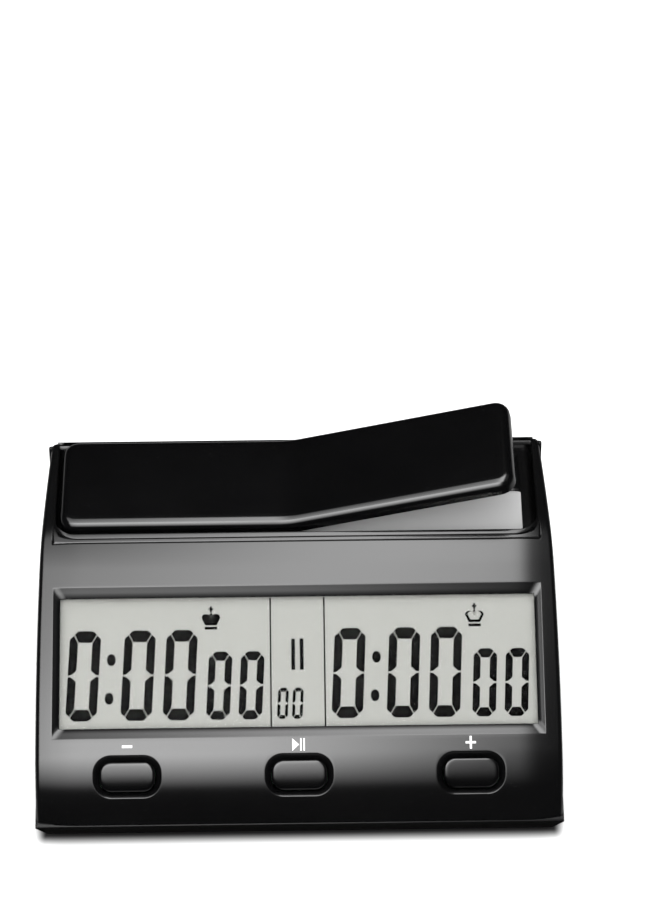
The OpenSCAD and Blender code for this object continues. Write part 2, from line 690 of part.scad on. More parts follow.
module contact_plate() color("silver") translate([cell_x0 + cell_len + cap_len, cell_y, cell_z])
    translate([0, -5, -5]) cube([plate_t, 10, 13]);

module contact_spring() color("silver") {
    spring_x = cell_x0 - spring_len;
    coil_r = 3.2;
    turns = 3;
    steps = 36;
    wire([for (i = [0 : steps]) let (t = i / steps)
        [spring_x + 0.7 + (spring_len - 1.2) * t, cell_y + coil_r * cos(360 * turns * t),
            cell_z + coil_r * sin(360 * turns * t)]], 0.7);
    translate([spring_x - plate_t, cell_y - 5, cell_z - 5]) cube([plate_t + 0.4, 10, 13]);
}

// Space of the battery door and its rails, with room for its unlatching travel towards +X
module door_space() {
    translate([-door_w / 2 - door_gap, cell_y - door_d / 2 - door_gap, 0])
        cube([door_w + door_travel + 2 * door_gap, door_d + 2 * door_gap, foot_h + door_t + door_gap / 2]);
    translate([-door_w / 2 - door_gap, cell_y - door_d / 2 - door_gap - door_rail, foot_h + door_t - rail_t - door_gap / 2])
        cube([door_w + door_travel + 2 * door_gap, door_d + 2 * (door_gap + door_rail), rail_t + door_gap]);
}

module battery_door() color(black) difference() {
    union() {
        translate([-door_w / 2, cell_y - door_d / 2, foot_h]) cube([door_w, door_d, door_t]);
        translate([-door_w / 2, cell_y - door_d / 2 - door_rail, foot_h + door_t - rail_t])
            cube([door_w, door_d + 2 * door_rail, rail_t]);
    }
    // finger grip
    for (i = [-2 : 2]) translate([door_w / 2 - 9 + i * 1.8, cell_y, foot_h])
        cube([0.8, door_d * 0.5, 0.8], center = true);
}

// ---- power switch ----

module power_switch_body() color([0.6, 0.6, 0.62]) difference() {
    translate([switch_x, switch_y, floor_z + switch_post_h]) {
        translate([-6.5, -3.5, 0]) cube([13, 7, 4]);
        translate([-12.5, -2.5, 0]) cube([25, 5, 0.6]);
    }
    for (p = switch_post_at) translate([p.x, p.y, floor_z]) cylinder(d = small_screw_d + 0.4, h = 6, $fn = fine);
    translate([switch_x, switch_y, floor_z + switch_post_h])
        cube([knob_travel + knob_w + 0.4, knob_w + 0.4, 2.4], center = true);
}

module power_switch_knob() color([0.05, 0.05, 0.05])
    translate([switch_x - knob_travel / 2 - knob_w / 2, switch_y - knob_w / 2, foot_h + 0.2])
        cube([knob_w, knob_w, floor_z + switch_post_h + 0.8 - foot_h]);

module power_switch_screws() color("silver") for (p = switch_post_at)
    translate([p.x, p.y, floor_z + switch_post_h + 0.6]) mirror([0, 0, 1])
        screw(small_screw_d, strip_screw_len, 3.8, 1.2);

// ---- wires ----

// Solder points on the back of the main board, and where each wire starts
function board_pad(x, u) = let (n = board_n + board_t + 0.05)
    [x, face_y + u * cos(face_slope) + n * sin(face_slope), face_z + u * sin(face_slope) - n * cos(face_slope)];
function off_board(p, d) = [p.x, p.y + d * sin(face_slope), p.z - d * cos(face_slope)];
function sag(a, b, drop, steps = 10) = [for (i = [0 : steps]) let (t = i / steps)
    a + (b - a) * t - [0, 0, drop * sin(180 * t)]];

// A lead leaves its solder point square to the board, then runs to the tag it is soldered to
module lead(pad, tag, drop) let (p = off_board(pad, wire_d / 2), q = off_board(pad, 5))
    wire(concat([p, (p + q) / 2], sag(q, tag, drop)), wire_d);

module battery_wire_red() color([0.7, 0.05, 0.05])
    lead(board_pad(34, 30), [cell_x0 + cell_len + cap_len + plate_t / 2, cell_y - 3, tag_z], 2);
module battery_wire_black() color(black)
    lead(board_pad(-34, 30), [cell_x0 - spring_len - plate_t / 2, cell_y - 3, tag_z], 2);
module buzzer_wires() color([0.1, 0.1, 0.5]) for (x = [-2, 2])
    lead(board_pad(56 + x, 22), [buzzer_x + x * 2.4, buzzer_y - 8, floor_z + 1.1], 2);
module rocker_wires() color([0.6, 0.6, 0.6]) for (i = [-1 : 1])
    lead(board_pad(16 + 2 * i, 48),
        [16 + 2 * i, rocker_mid - rocker_board_d / 2 + 1.5, rocker_board_z - board_t - wire_d / 2 - 0.05], 3);
module switch_wires() color([0.6, 0.1, 0.1]) for (x = [-2, 2])
    lead(board_pad(-56 + x, 22), [switch_x + x, switch_y - 2, floor_z + switch_post_h + 4 + wire_d / 2 + 0.02], 2);

upper_case();
base_shell();
rocker_lever();
rocker_pivot_pin();
rocker_stops();
window_lens();
lcd_panel();
lcd_holder();
zebra_strips();
main_board();
main_board_screws();
controller_blob();
quartz_crystal();
board_capacitors();
board_resistors();
key_minus();
key_play();
key_plus();
key_switches();
rocker_board();
rocker_switches();
rocker_board_screws();
buzzer();
buzzer_strip();
buzzer_screws();
battery_cell();
contact_plate();
contact_spring();
battery_door();
power_switch_body();
power_switch_knob();
power_switch_screws();
case_screws();
rubber_feet();
battery_wire_red();
battery_wire_black();
buzzer_wires();
rocker_wires();
switch_wires();
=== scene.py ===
"""Digital chess clock: a gloss black case with a sloping display, three keys and a tilting rocker.

Lengths are metres in the part's own frame: X to the right, Y to the back, Z up.
"""
import json

import bpy
import numpy as np
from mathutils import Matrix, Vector


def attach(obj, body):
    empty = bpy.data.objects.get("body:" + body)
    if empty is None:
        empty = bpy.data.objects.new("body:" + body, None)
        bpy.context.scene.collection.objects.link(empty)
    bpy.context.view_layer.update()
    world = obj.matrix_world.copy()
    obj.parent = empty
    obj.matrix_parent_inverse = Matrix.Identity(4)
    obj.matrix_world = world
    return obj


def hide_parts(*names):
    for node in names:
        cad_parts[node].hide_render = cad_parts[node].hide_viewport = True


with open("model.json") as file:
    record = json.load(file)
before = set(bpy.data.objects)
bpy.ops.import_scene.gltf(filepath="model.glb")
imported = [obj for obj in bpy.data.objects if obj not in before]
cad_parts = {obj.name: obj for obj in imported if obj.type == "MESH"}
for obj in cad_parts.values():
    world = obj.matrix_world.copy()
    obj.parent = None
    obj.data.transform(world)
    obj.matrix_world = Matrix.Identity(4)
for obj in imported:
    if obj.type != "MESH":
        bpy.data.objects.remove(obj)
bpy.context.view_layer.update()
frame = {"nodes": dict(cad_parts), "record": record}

# ---------------------------------------------------------------------------------------------
# Camera: a long lens looks down on the front of the clock from a metre away, with the clock
# low and left of the middle of the view.
camera_azimuth, camera_elevation = np.radians(0.02), np.radians(51.6)
camera_distance = 1.0
camera_yaw, camera_pitch = 0.0113, 0.0773      # how far the view turns right and up from the origin
to_camera = np.array([np.sin(camera_azimuth) * np.cos(camera_elevation),
                      -np.cos(camera_azimuth) * np.cos(camera_elevation), np.sin(camera_elevation)])
view_right = np.cross(-to_camera, (0, 0, 1))
view_right /= np.linalg.norm(view_right)
view_up = np.cross(view_right, -to_camera)
aim = -to_camera * np.cos(camera_pitch) + view_up * np.sin(camera_pitch)
aim = aim * np.cos(camera_yaw) + view_right * np.sin(camera_yaw)

camera_data = bpy.data.cameras.new("camera")
camera_data.lens = 122.15
camera_data.sensor_width = 36
camera = bpy.data.objects.new("camera", camera_data)
camera.location = to_camera * camera_distance
camera.rotation_mode = "QUATERNION"
camera.rotation_quaternion = Vector(aim).to_track_quat("-Z", "Y")
bpy.context.scene.collection.objects.link(camera)
bpy.context.scene.camera = camera
bpy.context.scene.view_settings.view_transform = "Standard"


# ---------------------------------------------------------------------------------------------
# Upper case: one moulding in gloss black ABS, screwed to the base from below. Its side profile is a
# round nose, a flat sloping face and a soft brow that runs into the level top; the sides are barrelled.
MM = 0.001
seam_z = 7.0                                    # where the upper case meets the base
case_width, face_length, face_slope = 166.4, 68.0, np.radians(27)
nose_radius, nose_start, brow_radius = 28.0, np.radians(75), 35.0
top_depth, side_radius, side_draft, widest_at = 44.0, 1246.0, np.radians(1.6), 44.0
edge_radius, back_radius = 1.75, 1.5
shoulder_start, shoulder_radius = 69.0, 66.0    # the face turns down a little near its sides
shell_thickness = 0.9

nose_run = nose_radius * (np.sin(nose_start) - np.sin(face_slope))
nose_rise = nose_radius * (np.cos(face_slope) - np.cos(nose_start))
case_depth = nose_run + face_length * np.cos(face_slope) + top_depth
case_top = seam_z + nose_rise + face_length * np.sin(face_slope)
front_y, back_y = -case_depth / 2, case_depth / 2
face_y, face_z = front_y + nose_run, seam_z + nose_rise
brow_y = face_y + face_length * np.cos(face_slope)
nose_length = nose_radius * (nose_start - face_slope)
brow_tangent = brow_radius * np.tan(face_slope / 2)
brow_start = nose_length + face_length - brow_tangent
brow_end = brow_start + brow_radius * face_slope
top_end = brow_end + back_y - back_radius - brow_y - brow_tangent
round_end = top_end + back_radius * np.pi / 2


def profile(s):
    """Point (y, z) and slope of the case's side outline at arc length s from the seam in front.

    Nose arc, straight face, brow arc, level top, back corner arc, then straight down the back."""
    s = np.asarray(s, float)
    slope = np.select(
        [s < nose_length, s < brow_start, s < brow_end, s < top_end, s < round_end],
        [nose_start - s / nose_radius, face_slope + 0 * s, face_slope - (s - brow_start) / brow_radius,
         0 * s, -(s - top_end) / back_radius], -np.pi / 2)
    nose_y, nose_z = front_y + nose_radius * np.sin(nose_start), seam_z - nose_radius * np.cos(nose_start)
    brow_cy, brow_cz = brow_y + brow_tangent, case_top - brow_radius
    along = s - nose_length
    y = np.select(
        [s < nose_length, s < brow_start, s < brow_end, s < top_end, s < round_end],
        [nose_y - nose_radius * np.sin(slope), face_y + along * np.cos(face_slope),
         brow_cy - brow_radius * np.sin(slope), brow_cy + s - brow_end,
         back_y - back_radius - back_radius * np.sin(slope)], back_y)
    z = np.select(
        [s < nose_length, s < brow_start, s < brow_end, s < top_end, s < round_end],
        [nose_z + nose_radius * np.cos(slope), face_z + along * np.sin(face_slope),
         brow_cz + brow_radius * np.cos(slope), case_top + 0 * s,
         case_top - back_radius + back_radius * np.cos(slope)], case_top - back_radius - (s - round_end))
    return y, z, slope


def half_width(y, z):
    """Half width of the case at depth y and height z: a large arc seen from above, less the draft."""
    d = y - front_y - widest_at
    barrel = side_radius - np.sqrt(side_radius ** 2 - d ** 2)
    return case_width / 2 - barrel - (z - seam_z) * np.tan(side_draft)


def on_case(s, x, depth=0.0):
    """Point of the case's skin at arc length s and width x, pressed in by depth along the normal.

    Beyond the shoulder the skin sinks by the sagitta of a large circle."""
    y, z, slope = profile(s)
    sink = np.maximum(np.abs(x) - shoulder_start, 0) ** 2 / (2 * shoulder_radius) + depth
    return np.stack([x + 0 * y, y + sink * np.sin(slope), z - sink * np.cos(slope)], -1)


def arc_of(u):
    """Arc length of the skin above or below the face's lower end, from u measured along the face."""
    u = np.asarray(u, float)
    return nose_length + np.where(u < 0, -nose_radius * np.arcsin(np.clip(-u / nose_radius, 0, 1)), u)


def ring(width, height, radius, nx, ny):
    """Round-cornered rectangle as 2 (nx + ny) points, corner to corner, the same number for any size.

    Along each side the points are evenly spaced over the straight part and half of each corner arc."""
    def side(length, depth, count):
        t = np.linspace(-1, 1, count + 1)[:-1]
        flat = length / 2 - radius
        reach = np.abs(t) * (flat + radius * np.pi / 4)
        angle = np.maximum(reach - flat, 0) / max(radius, 1e-9)
        along = np.where(reach > flat, flat + radius * np.sin(angle), reach)
        out = depth / 2 - np.where(reach > flat, radius * (1 - np.cos(angle)), 0)
        return np.sign(t) * along, out
    ax, ay = side(width, height, nx)
    bx, by = side(height, width, ny)
    return np.concatenate([np.stack([ax, -ay], 1), np.stack([by, bx], 1),
                           np.stack([-ax, ay], 1), np.stack([-by, -bx], 1)])


def add_mesh(name, parts, body, material, merge=0.02):
    """Makes one piece from sheets of points, each (rows, columns, 3) in millimetres, and joins their seams.

    A part is (points, wrap) or (points, wrap, kept): wrap closes the last column to the first, and kept
    says which cells there are."""
    points, faces, start = [], [], 0
    for grid, wrap, *kept in parts:
        rows, columns = grid.shape[:2]
        index = start + np.arange(rows * columns).reshape(rows, columns)
        if wrap:
            index = np.concatenate([index, index[:, :1]], 1)
        quads = np.stack([index[:-1, :-1], index[:-1, 1:], index[1:, 1:], index[1:, :-1]], -1)
        points.append(grid.reshape(-1, 3))
        faces.append(quads[kept[0]] if kept else quads.reshape(-1, 4))
        start += rows * columns
    mesh = bpy.data.meshes.new(name)
    mesh.from_pydata((np.concatenate(points) * MM).tolist(), [], np.concatenate(faces).tolist())
    piece = bpy.data.objects.new(name, mesh)
    bpy.context.scene.collection.objects.link(piece)
    tidy_mesh(mesh, merge * MM)
    mesh.materials.append(material)
    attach(piece, body)
    return piece


def tidy_mesh(mesh, distance, smooth_angle=np.radians(38)):
    """Joins doubled points, turns all faces outwards and shades them smooth except over sharp edges."""
    import bmesh
    bm = bmesh.new()
    bm.from_mesh(mesh)
    bmesh.ops.remove_doubles(bm, verts=bm.verts, dist=distance)
    bmesh.ops.dissolve_degenerate(bm, edges=bm.edges, dist=distance / 10)
    bmesh.ops.recalc_face_normals(bm, faces=bm.faces)
    highest = max(bm.faces, key=lambda face: face.calc_center_median().z)
    if highest.normal.z < 0:                    # an open sheet: its outside is the side seen from above
        bmesh.ops.reverse_faces(bm, faces=bm.faces)
    bm.to_mesh(mesh)
    bm.free()
    mesh.polygons.foreach_set("use_smooth", np.ones(len(mesh.polygons), bool))
    mesh.set_sharp_from_angle(angle=smooth_angle)


def grain_group():
    """Shared effect: the fine sparkle of a moulded skin and a trace of dust, from 3D noise."""
    group = bpy.data.node_groups.new("moulded_grain", "ShaderNodeTree")
    face = group.interface
    face.new_socket("Coordinate", in_out="INPUT", socket_type="NodeSocketVector")
    face.new_socket("Grain", in_out="INPUT", socket_type="NodeSocketFloat").default_value = 4000
    face.new_socket("Height", in_out="OUTPUT", socket_type="NodeSocketFloat")
    face.new_socket("Patch", in_out="OUTPUT", socket_type="NodeSocketFloat")
    face.new_socket("Dust", in_out="OUTPUT", socket_type="NodeSocketFloat")
    n, link = group.nodes, group.links.new
    inner, outer = n.new("NodeGroupInput"), n.new("NodeGroupOutput")
    fine = n.new("ShaderNodeTexNoise")
    fine.inputs["Detail"].default_value = 2
    patch = n.new("ShaderNodeTexNoise")
    patch.inputs["Scale"].default_value = 45
    patch.inputs["Detail"].default_value = 3
    specks = n.new("ShaderNodeTexVoronoi")
    specks.inputs["Scale"].default_value = 420
    specks.inputs["Randomness"].default_value = 1
    dust = n.new("ShaderNodeMapRange")
    dust.inputs["From Min"].default_value = 0.10
    dust.inputs["From Max"].default_value = 0.04
    for node in (fine, patch, specks):
        link(inner.outputs["Coordinate"], node.inputs["Vector"])
    link(inner.outputs["Grain"], fine.inputs["Scale"])
    link(specks.outputs["Distance"], dust.inputs["Value"])
    link(fine.outputs["Fac"], outer.inputs["Height"])
    link(patch.outputs["Fac"], outer.inputs["Patch"])
    link(dust.outputs["Result"], outer.inputs["Dust"])
    return group


grain = grain_group()


def moulded(name, colour, lighter, roughness, spread, bump, grain_scale=3000, specular=0.5, metallic=0.0,
            coat=0.0, dust=0.0):
    """Plastic, rubber or metal skin: colour and roughness drift over patches, and fine grain gives a bump."""
    material = bpy.data.materials.new(name)
    material.use_nodes = True
    n, link = material.node_tree.nodes, material.node_tree.links.new
    shader = n["Principled BSDF"]
    shader.inputs["Metallic"].default_value = metallic
    shader.inputs["Specular IOR Level"].default_value = specular
    shader.inputs["Coat Weight"].default_value = coat
    shader.inputs["Coat Roughness"].default_value = 0.08
    place, skin = n.new("ShaderNodeTexCoord"), n.new("ShaderNodeGroup")
    skin.node_tree = grain
    skin.inputs["Grain"].default_value = grain_scale
    link(place.outputs["Object"], skin.inputs["Coordinate"])
    tone = n.new("ShaderNodeMix")
    tone.data_type = "RGBA"
    tone.inputs[6].default_value = (*colour, 1)
    tone.inputs[7].default_value = (*lighter, 1)
    link(skin.outputs["Patch"], tone.inputs[0])
    rough = n.new("ShaderNodeMapRange")
    rough.inputs["To Min"].default_value = roughness - spread
    rough.inputs["To Max"].default_value = roughness + spread
    link(skin.outputs["Patch"], rough.inputs["Value"])
    if dust:
        specks = n.new("ShaderNodeMix")
        specks.data_type = "RGBA"
        specks.inputs[7].default_value = (dust, dust, dust, 1)
        link(skin.outputs["Dust"], specks.inputs[0])
        link(tone.outputs[2], specks.inputs[6])
        link(specks.outputs[2], shader.inputs["Base Color"])
    else:
        link(tone.outputs[2], shader.inputs["Base Color"])
    link(rough.outputs["Result"], shader.inputs["Roughness"])
    relief = n.new("ShaderNodeBump")
    relief.inputs["Strength"].default_value = bump
    relief.inputs["Distance"].default_value = 0.00005
    link(skin.outputs["Height"], relief.inputs["Height"])
    link(relief.outputs["Normal"], shader.inputs["Normal"])
    return material


case_black = moulded("case_gloss_black", (0.0015, 0.0015, 0.0017), (0.0028, 0.0028, 0.003), 0.20, 0.02, 0.05,
                     dust=0.010)

# the display's sloping frame and the keys' sunken borders are part of the same moulding
view_width, view_height, view_low = 149.4, 41.6, 8.2
frame_side, frame_end, frame_depth, case_wall = 2.3, 3.5, 1.33, 2.2
view_middle = view_low + view_height / 2
frame_rows = 20
key_width, key_height, key_radius = 17.2, 8.8, 3.6
key_middle, key_places = -6.9, (-53.4, 0.0, 53.4)
border_width, border_depth, key_gap, hole_depth = 1.95, 2.0, 0.2, 4.5
key_patch, key_cells = (24.4, 15.4), (28, 18)
bay_half, bay_front, bay_corner, gutter_z = 76.689, 18.561, 6.4, 52.573
rim_width, rim_side = 1.6, 0.7                # of the bead: in front, and at the sides


def rings_on_case(rings, middle_u, middle_x):
    """Rings given as (outline, depth) laid on the case's skin round a middle point.

    Depth goes in square to the flat face, so that walls stand along a key's travel."""
    into = np.array([0, np.sin(face_slope), -np.cos(face_slope)])
    return np.stack([on_case(arc_of(middle_u + outline[:, 1]), middle_x + outline[:, 0])
                     + np.multiply.outer(depth + 0 * outline[:, 0], into) for outline, depth in rings])


def lined_ring(width, height, x_lines, y_lines):
    """Square-cornered ring whose points sit on given lines, each from -1 to 1 across the rectangle."""
    x, y = x_lines * width / 2, y_lines * height / 2
    right, top = 0 * y[:-1] + width / 2, 0 * x[:-1] + height / 2
    return np.concatenate([np.stack([x[:-1], -top], 1), np.stack([right, y[:-1]], 1),
                           np.stack([x[:0:-1], top], 1), np.stack([-right, y[:0:-1]], 1)])


def display_frame():
    """Mitred funnel from the skin down to the window, with a fine rounded edge at its top."""
    across, up = x_all / frame_w, np.linspace(-1, 1, frame_rows + 1)

    def at(t, depth):
        return lined_ring(view_width + 2 * frame_side * t, view_height + 2 * frame_end * t, across, up), depth
    rows = [at(1, 0), at(0.97, 0.005), at(0.93, 0.04), at(0.89, 0.10)]
    rows += [at(t, frame_depth + (0.10 - frame_depth) * t / 0.89) for t in (0.5, 0.05)]
    rows += [at(0.0, frame_depth + 0.05), at(0.0, case_wall - 0.02)]
    return rings_on_case(rows, view_middle, 0.0)


def key_border(x):
    """Dished border round a key: a flat patch, a rounded edge, a cone down to the hole and its wall."""
    def at(grow, depth):
        return ring(key_width + 2 * grow, key_height + 2 * grow, key_radius + grow, *key_cells), depth
    edge = 0.3
    outer, first = ring(*key_patch, 0, *key_cells), at(border_width + edge, 0)[0]
    rows = [(outer + (first - outer) * t, 0) for t in (0, 0.35, 0.7, 1)]
    cone = np.arctan2(border_depth, border_width - key_gap)
    for a in np.linspace(0.2, 1, 5) * cone:
        rows.append(at(border_width + edge - edge * 1.6 * np.sin(a), edge * 1.6 * (1 - np.cos(a))))
    rows += [at(key_gap + 0.1, border_depth - 0.1), at(key_gap, border_depth), at(key_gap, hole_depth)]
    return rings_on_case(rows, key_middle, x)


def grid_lines(breaks, pitch):
    """Lines through each break and evenly between them, about a pitch apart; a break is (place, cells)."""
    lines = [np.array([breaks[0][0]])]
    for (low, _), (high, cells) in zip(breaks, breaks[1:]):
        count = cells or max(1, int(np.ceil((high - low) / pitch)))
        lines.append(np.linspace(low, high, count + 1)[1:])
    return np.concatenate(lines)


patch_w, patch_h = key_patch
frame_w, frame_h = view_width / 2 + frame_side, view_height / 2 + frame_end
x_breaks = [(-frame_w, None)]
for place in key_places:
    x_breaks += [(place - patch_w / 2, None), (place + patch_w / 2, key_cells[0])]
x_all = grid_lines(x_breaks + [(frame_w, None)], 2.4)
bay_patch_half = bay_half + rim_side + 0.05     # the skin's lines run straight back beside the bay
bay_patch_front = bay_front - rim_width - 1.2
x_full = np.concatenate([[-bay_patch_half], x_all, [bay_patch_half]])
margin_cells, edge_cells, back_rows = 8, 8, 6


def margins(s_lines):
    """Both margins of a strip: out to the edge, over the rounded edge and onto the side."""
    y, z, slope = profile(s_lines)
    x_in = half_width(y + edge_radius * np.sin(slope), z - edge_radius * np.cos(slope)) - edge_radius
    x = bay_patch_half + (x_in[:, None] - bay_patch_half) * np.linspace(0, 1, margin_cells + 1)
    flat = on_case(s_lines[:, None] + 0 * x, x)
    tilt = (x_in - shoulder_start) / shoulder_radius
    turn = tilt[:, None] + (np.pi / 2 - tilt[:, None]) * np.linspace(0, 1, edge_cells + 1)[None, 1:]
    up, out = np.stack([0 * y, -np.sin(slope), np.cos(slope)], -1), np.array([1.0, 0, 0])
    centre = flat[:, -1] - edge_radius * (np.cos(tilt)[:, None] * up + np.sin(tilt)[:, None] * out)
    curve = centre[:, None] + edge_radius * (np.cos(turn)[..., None] * up[:, None]
                                             + np.sin(turn)[..., None] * out)
    sheet = np.concatenate([flat, curve], 1)
    sheet[..., 2] = np.maximum(sheet[..., 2], seam_z)
    return sheet


def bay_surround(cells):
    """Flat sheet from the strips' lines round the bay to the bead's rounded outline."""
    depth = back_y - back_radius
    side = np.linspace(depth, bay_patch_front, cells + 1)[:-1]
    outer = np.concatenate([np.stack([0 * side - bay_patch_half, side], 1),
                            np.stack([x_full, 0 * x_full + bay_patch_front], 1),
                            np.stack([0 * side + bay_patch_half, side[::-1]], 1)])
    half, front, radius = bay_half + rim_side - 0.3, bay_front - rim_width + 0.3, bay_corner + 1.0
    x = outer[:, 0] * half / bay_patch_half
    y = depth + (outer[:, 1] - depth) * (depth - front) / (depth - bay_patch_front)
    from_side, from_front = half - np.abs(x), y - front
    along = np.maximum(from_side, from_front)   # how far from the square corner, along either edge
    turn = np.pi / 4 * (1 - np.clip(along / radius, 0, 1))
    turn = np.where(from_side < from_front, turn, np.pi / 2 - turn)
    inside = along < radius
    x = np.where(inside, np.sign(x) * (half - radius + radius * np.cos(turn)), x)
    y = np.where(inside, front + radius - radius * np.sin(turn), y)
    inner = np.stack([x, y], 1)
    sheet = np.stack([outer + (inner - outer) * t for t in (0, 0.35, 0.7, 1)])
    sink = np.maximum(np.abs(sheet[..., 0]) - shoulder_start, 0) ** 2 / (2 * shoulder_radius)
    s = brow_end + sheet[..., 1] - brow_y - brow_tangent
    _, z, _ = profile(s)
    return np.concatenate([sheet, (z - sink)[..., None]], -1)


def case_skin():
    """The skin's sheets: strips across the case with holes left for the frame, the borders and the bay."""
    bay_cells = 24
    key_low, key_high = arc_of(key_middle - patch_h / 2), arc_of(key_middle + patch_h / 2)
    frame_low, frame_high = arc_of(view_middle - frame_h), arc_of(view_middle + frame_h)
    bay_s = brow_end + bay_patch_front - brow_y - brow_tangent
    nose = np.linspace(0, key_low, 13)
    keys = arc_of(np.linspace(key_middle - patch_h / 2, key_middle + patch_h / 2, key_cells[1] + 1))
    shelf = np.linspace(key_high, frame_low, 4)
    display = arc_of(np.linspace(view_middle - frame_h, view_middle + frame_h, frame_rows + 1))
    brow = np.linspace(frame_high, bay_s, 26)
    beside = np.concatenate([np.linspace(bay_s, top_end, bay_cells + 1),
                             np.linspace(top_end, round_end, back_rows + 1)[1:]])
    key_edges = [p + sign * patch_w / 2 for p in key_places for sign in (-1, 1)]
    gaps = [-bay_patch_half] + key_edges + [bay_patch_half]
    strips = [(nose, x_full), (shelf, x_full), (brow, x_full)]
    strips += [(keys, x_full[(x_full > low - 0.01) & (x_full < high + 0.01)])
               for low, high in zip(gaps[::2], gaps[1::2])]
    strips += [(display, sign * np.array([frame_w, bay_patch_half])) for sign in (-1, 1)]
    made = [(on_case(*np.meshgrid(s, x, indexing="ij")), False) for s, x in strips]
    made += [(key_border(x), True) for x in key_places]
    made += [(display_frame(), True), (bay_surround(bay_cells), False)]
    right = [margins(s) for s in (nose, keys, shelf, display, brow, beside)]
    made += [(sheet * [sign, 1, 1], False) for sheet in right for sign in (-1, 1)]
    rim = np.concatenate([sheet[:, -1] for sheet in right])
    return made, rim


skin_sheets, side_rim = case_skin()


def case_sides():
    """Side walls, rounded back corners, the back wall and its inner side in the bay."""
    t = np.linspace(0, 1, 11)[:, None]
    z = side_rim[None, :, 2] + (seam_z - side_rim[None, :, 2]) * t
    y = side_rim[None, :, 1] + 0 * z
    x = side_rim[None, :, 0] + half_width(y, z) - half_width(y[:1], z[:1])
    wall_sheet = np.stack([x, y, z], -1)
    turn = np.linspace(0, np.pi / 2, edge_cells + 1)
    last = wall_sheet[:, -1:]
    corner = np.stack([last[..., 0] - edge_radius * (1 - np.cos(turn)),
                       last[..., 1] + edge_radius * np.sin(turn), last[..., 2] + 0 * turn], -1)
    edge = corner[:, -1:]
    share = np.linspace(0, 1, margin_cells + 1)
    post = np.stack([bay_patch_half + (edge[..., 0] - bay_patch_half) * share, edge[..., 1] + 0 * share,
                     edge[..., 2] + 0 * share], -1)
    across = np.linspace(-bay_patch_half, bay_patch_half, 33)
    middle = np.stack([across + 0 * edge[..., 0], edge[..., 1] + 0 * across,
                       edge[..., 2] + 0 * across], -1)
    rim_y, rim_z, _ = profile(np.linspace(top_end, round_end, back_rows + 1)[1:])
    over = np.stack([across + 0 * rim_y[:, None], rim_y[:, None] + 0 * across,
                     rim_z[:, None] + 0 * across], -1)
    inside = np.stack([over[0], over[0] * [1, 1, 0] + [0, 0, gutter_z - 0.5]])
    return [(sheet * [sign, 1, 1], False) for sheet in (wall_sheet, corner, post)
            for sign in (-1, 1)] + [(middle, False), (over, False), (inside, False)]


upper_case = add_mesh("upper_case_skin", skin_sheets + case_sides(), "case", case_black)
wall = upper_case.modifiers.new("wall", "SOLIDIFY")
wall.thickness = shell_thickness * MM
wall.offset = -1
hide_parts("upper_case")


# ---------------------------------------------------------------------------------------------
# Well of the rocker: a raised bead runs round it, its floor rises to a ridge that fills the
# hollow of the rocker, and it is open at the back. Moulded in one with the case.
rim_height, rim_rise = 0.45, 0.2
ridge_top, ridge_half, ridge_flat = 56.47, 72.09, 9.0
rocker_middle = 38.561
ridge_y0, ridge_y1, ridge_back = rocker_middle - ridge_flat / 2, rocker_middle + ridge_flat / 2, 54.361
web_opening = (5.18, 10.3)                      # half width and half depth
post_opening = (23.04, 32.6, 2.6)               # from, to, and half depth


def bay_path(grow, corner_points=14):
    """The bay's outline from above, grown outwards: left side, round corners and front, right side."""
    half, front, radius = bay_half + grow * rim_side / rim_width, bay_front - grow, bay_corner + grow
    turn = np.linspace(0, np.pi / 2, corner_points)
    side = np.concatenate([np.linspace(back_y - 0.02, back_y - 7, 20)[:-1],
                           np.linspace(back_y - 7, bay_front + bay_corner, 10)[:-1]])
    x = np.concatenate([0 * side - half, -half + radius * (1 - np.cos(turn))])
    y = np.concatenate([side, front + radius - radius * np.sin(turn)])
    middle = np.linspace(-half + radius, half - radius, 50)[1:-1]
    return np.stack([np.concatenate([x, middle, -x[::-1]]),
                     np.concatenate([y, 0 * middle + front, y[::-1]])], 1)


def well_rim():
    """A closed bead section carried along the bay's outline; towards the back the bead sinks to the case."""
    low = gutter_z - 1.2
    top, inner = rim_height, rim_height + rim_rise
    section = [(rim_width, low), (rim_width, top - 0.16), (rim_width - 0.05, top - 0.06),
               (rim_width - 0.16, top), (0.22, inner), (0.08, inner - 0.05), (0.0, inner - 0.2),
               (0.0, low), (rim_width, low)]
    rows = []
    for grow, height in section:
        path = bay_path(grow)
        _, skin_z, _ = profile(brow_end + path[:, 1] - brow_y - brow_tangent)
        dip = np.maximum(np.abs(path[:, 0]) - shoulder_start, 0) ** 2 / (2 * shoulder_radius)
        fade = np.clip((back_y - 0.5 - path[:, 1]) / 5, 0, 1)
        z = np.where(height == low, low, skin_z - dip + height * fade * fade * (3 - 2 * fade) + 0.03)
        rows.append(np.stack([path[:, 0], path[:, 1], z], -1))
    tube = np.stack(rows)
    caps = [np.stack([tube[:, i], tube[:-1, i].mean(0) + 0 * tube[:, i]]) for i in (0, -1)]
    return [(tube, False)] + [(cap, False) for cap in caps]


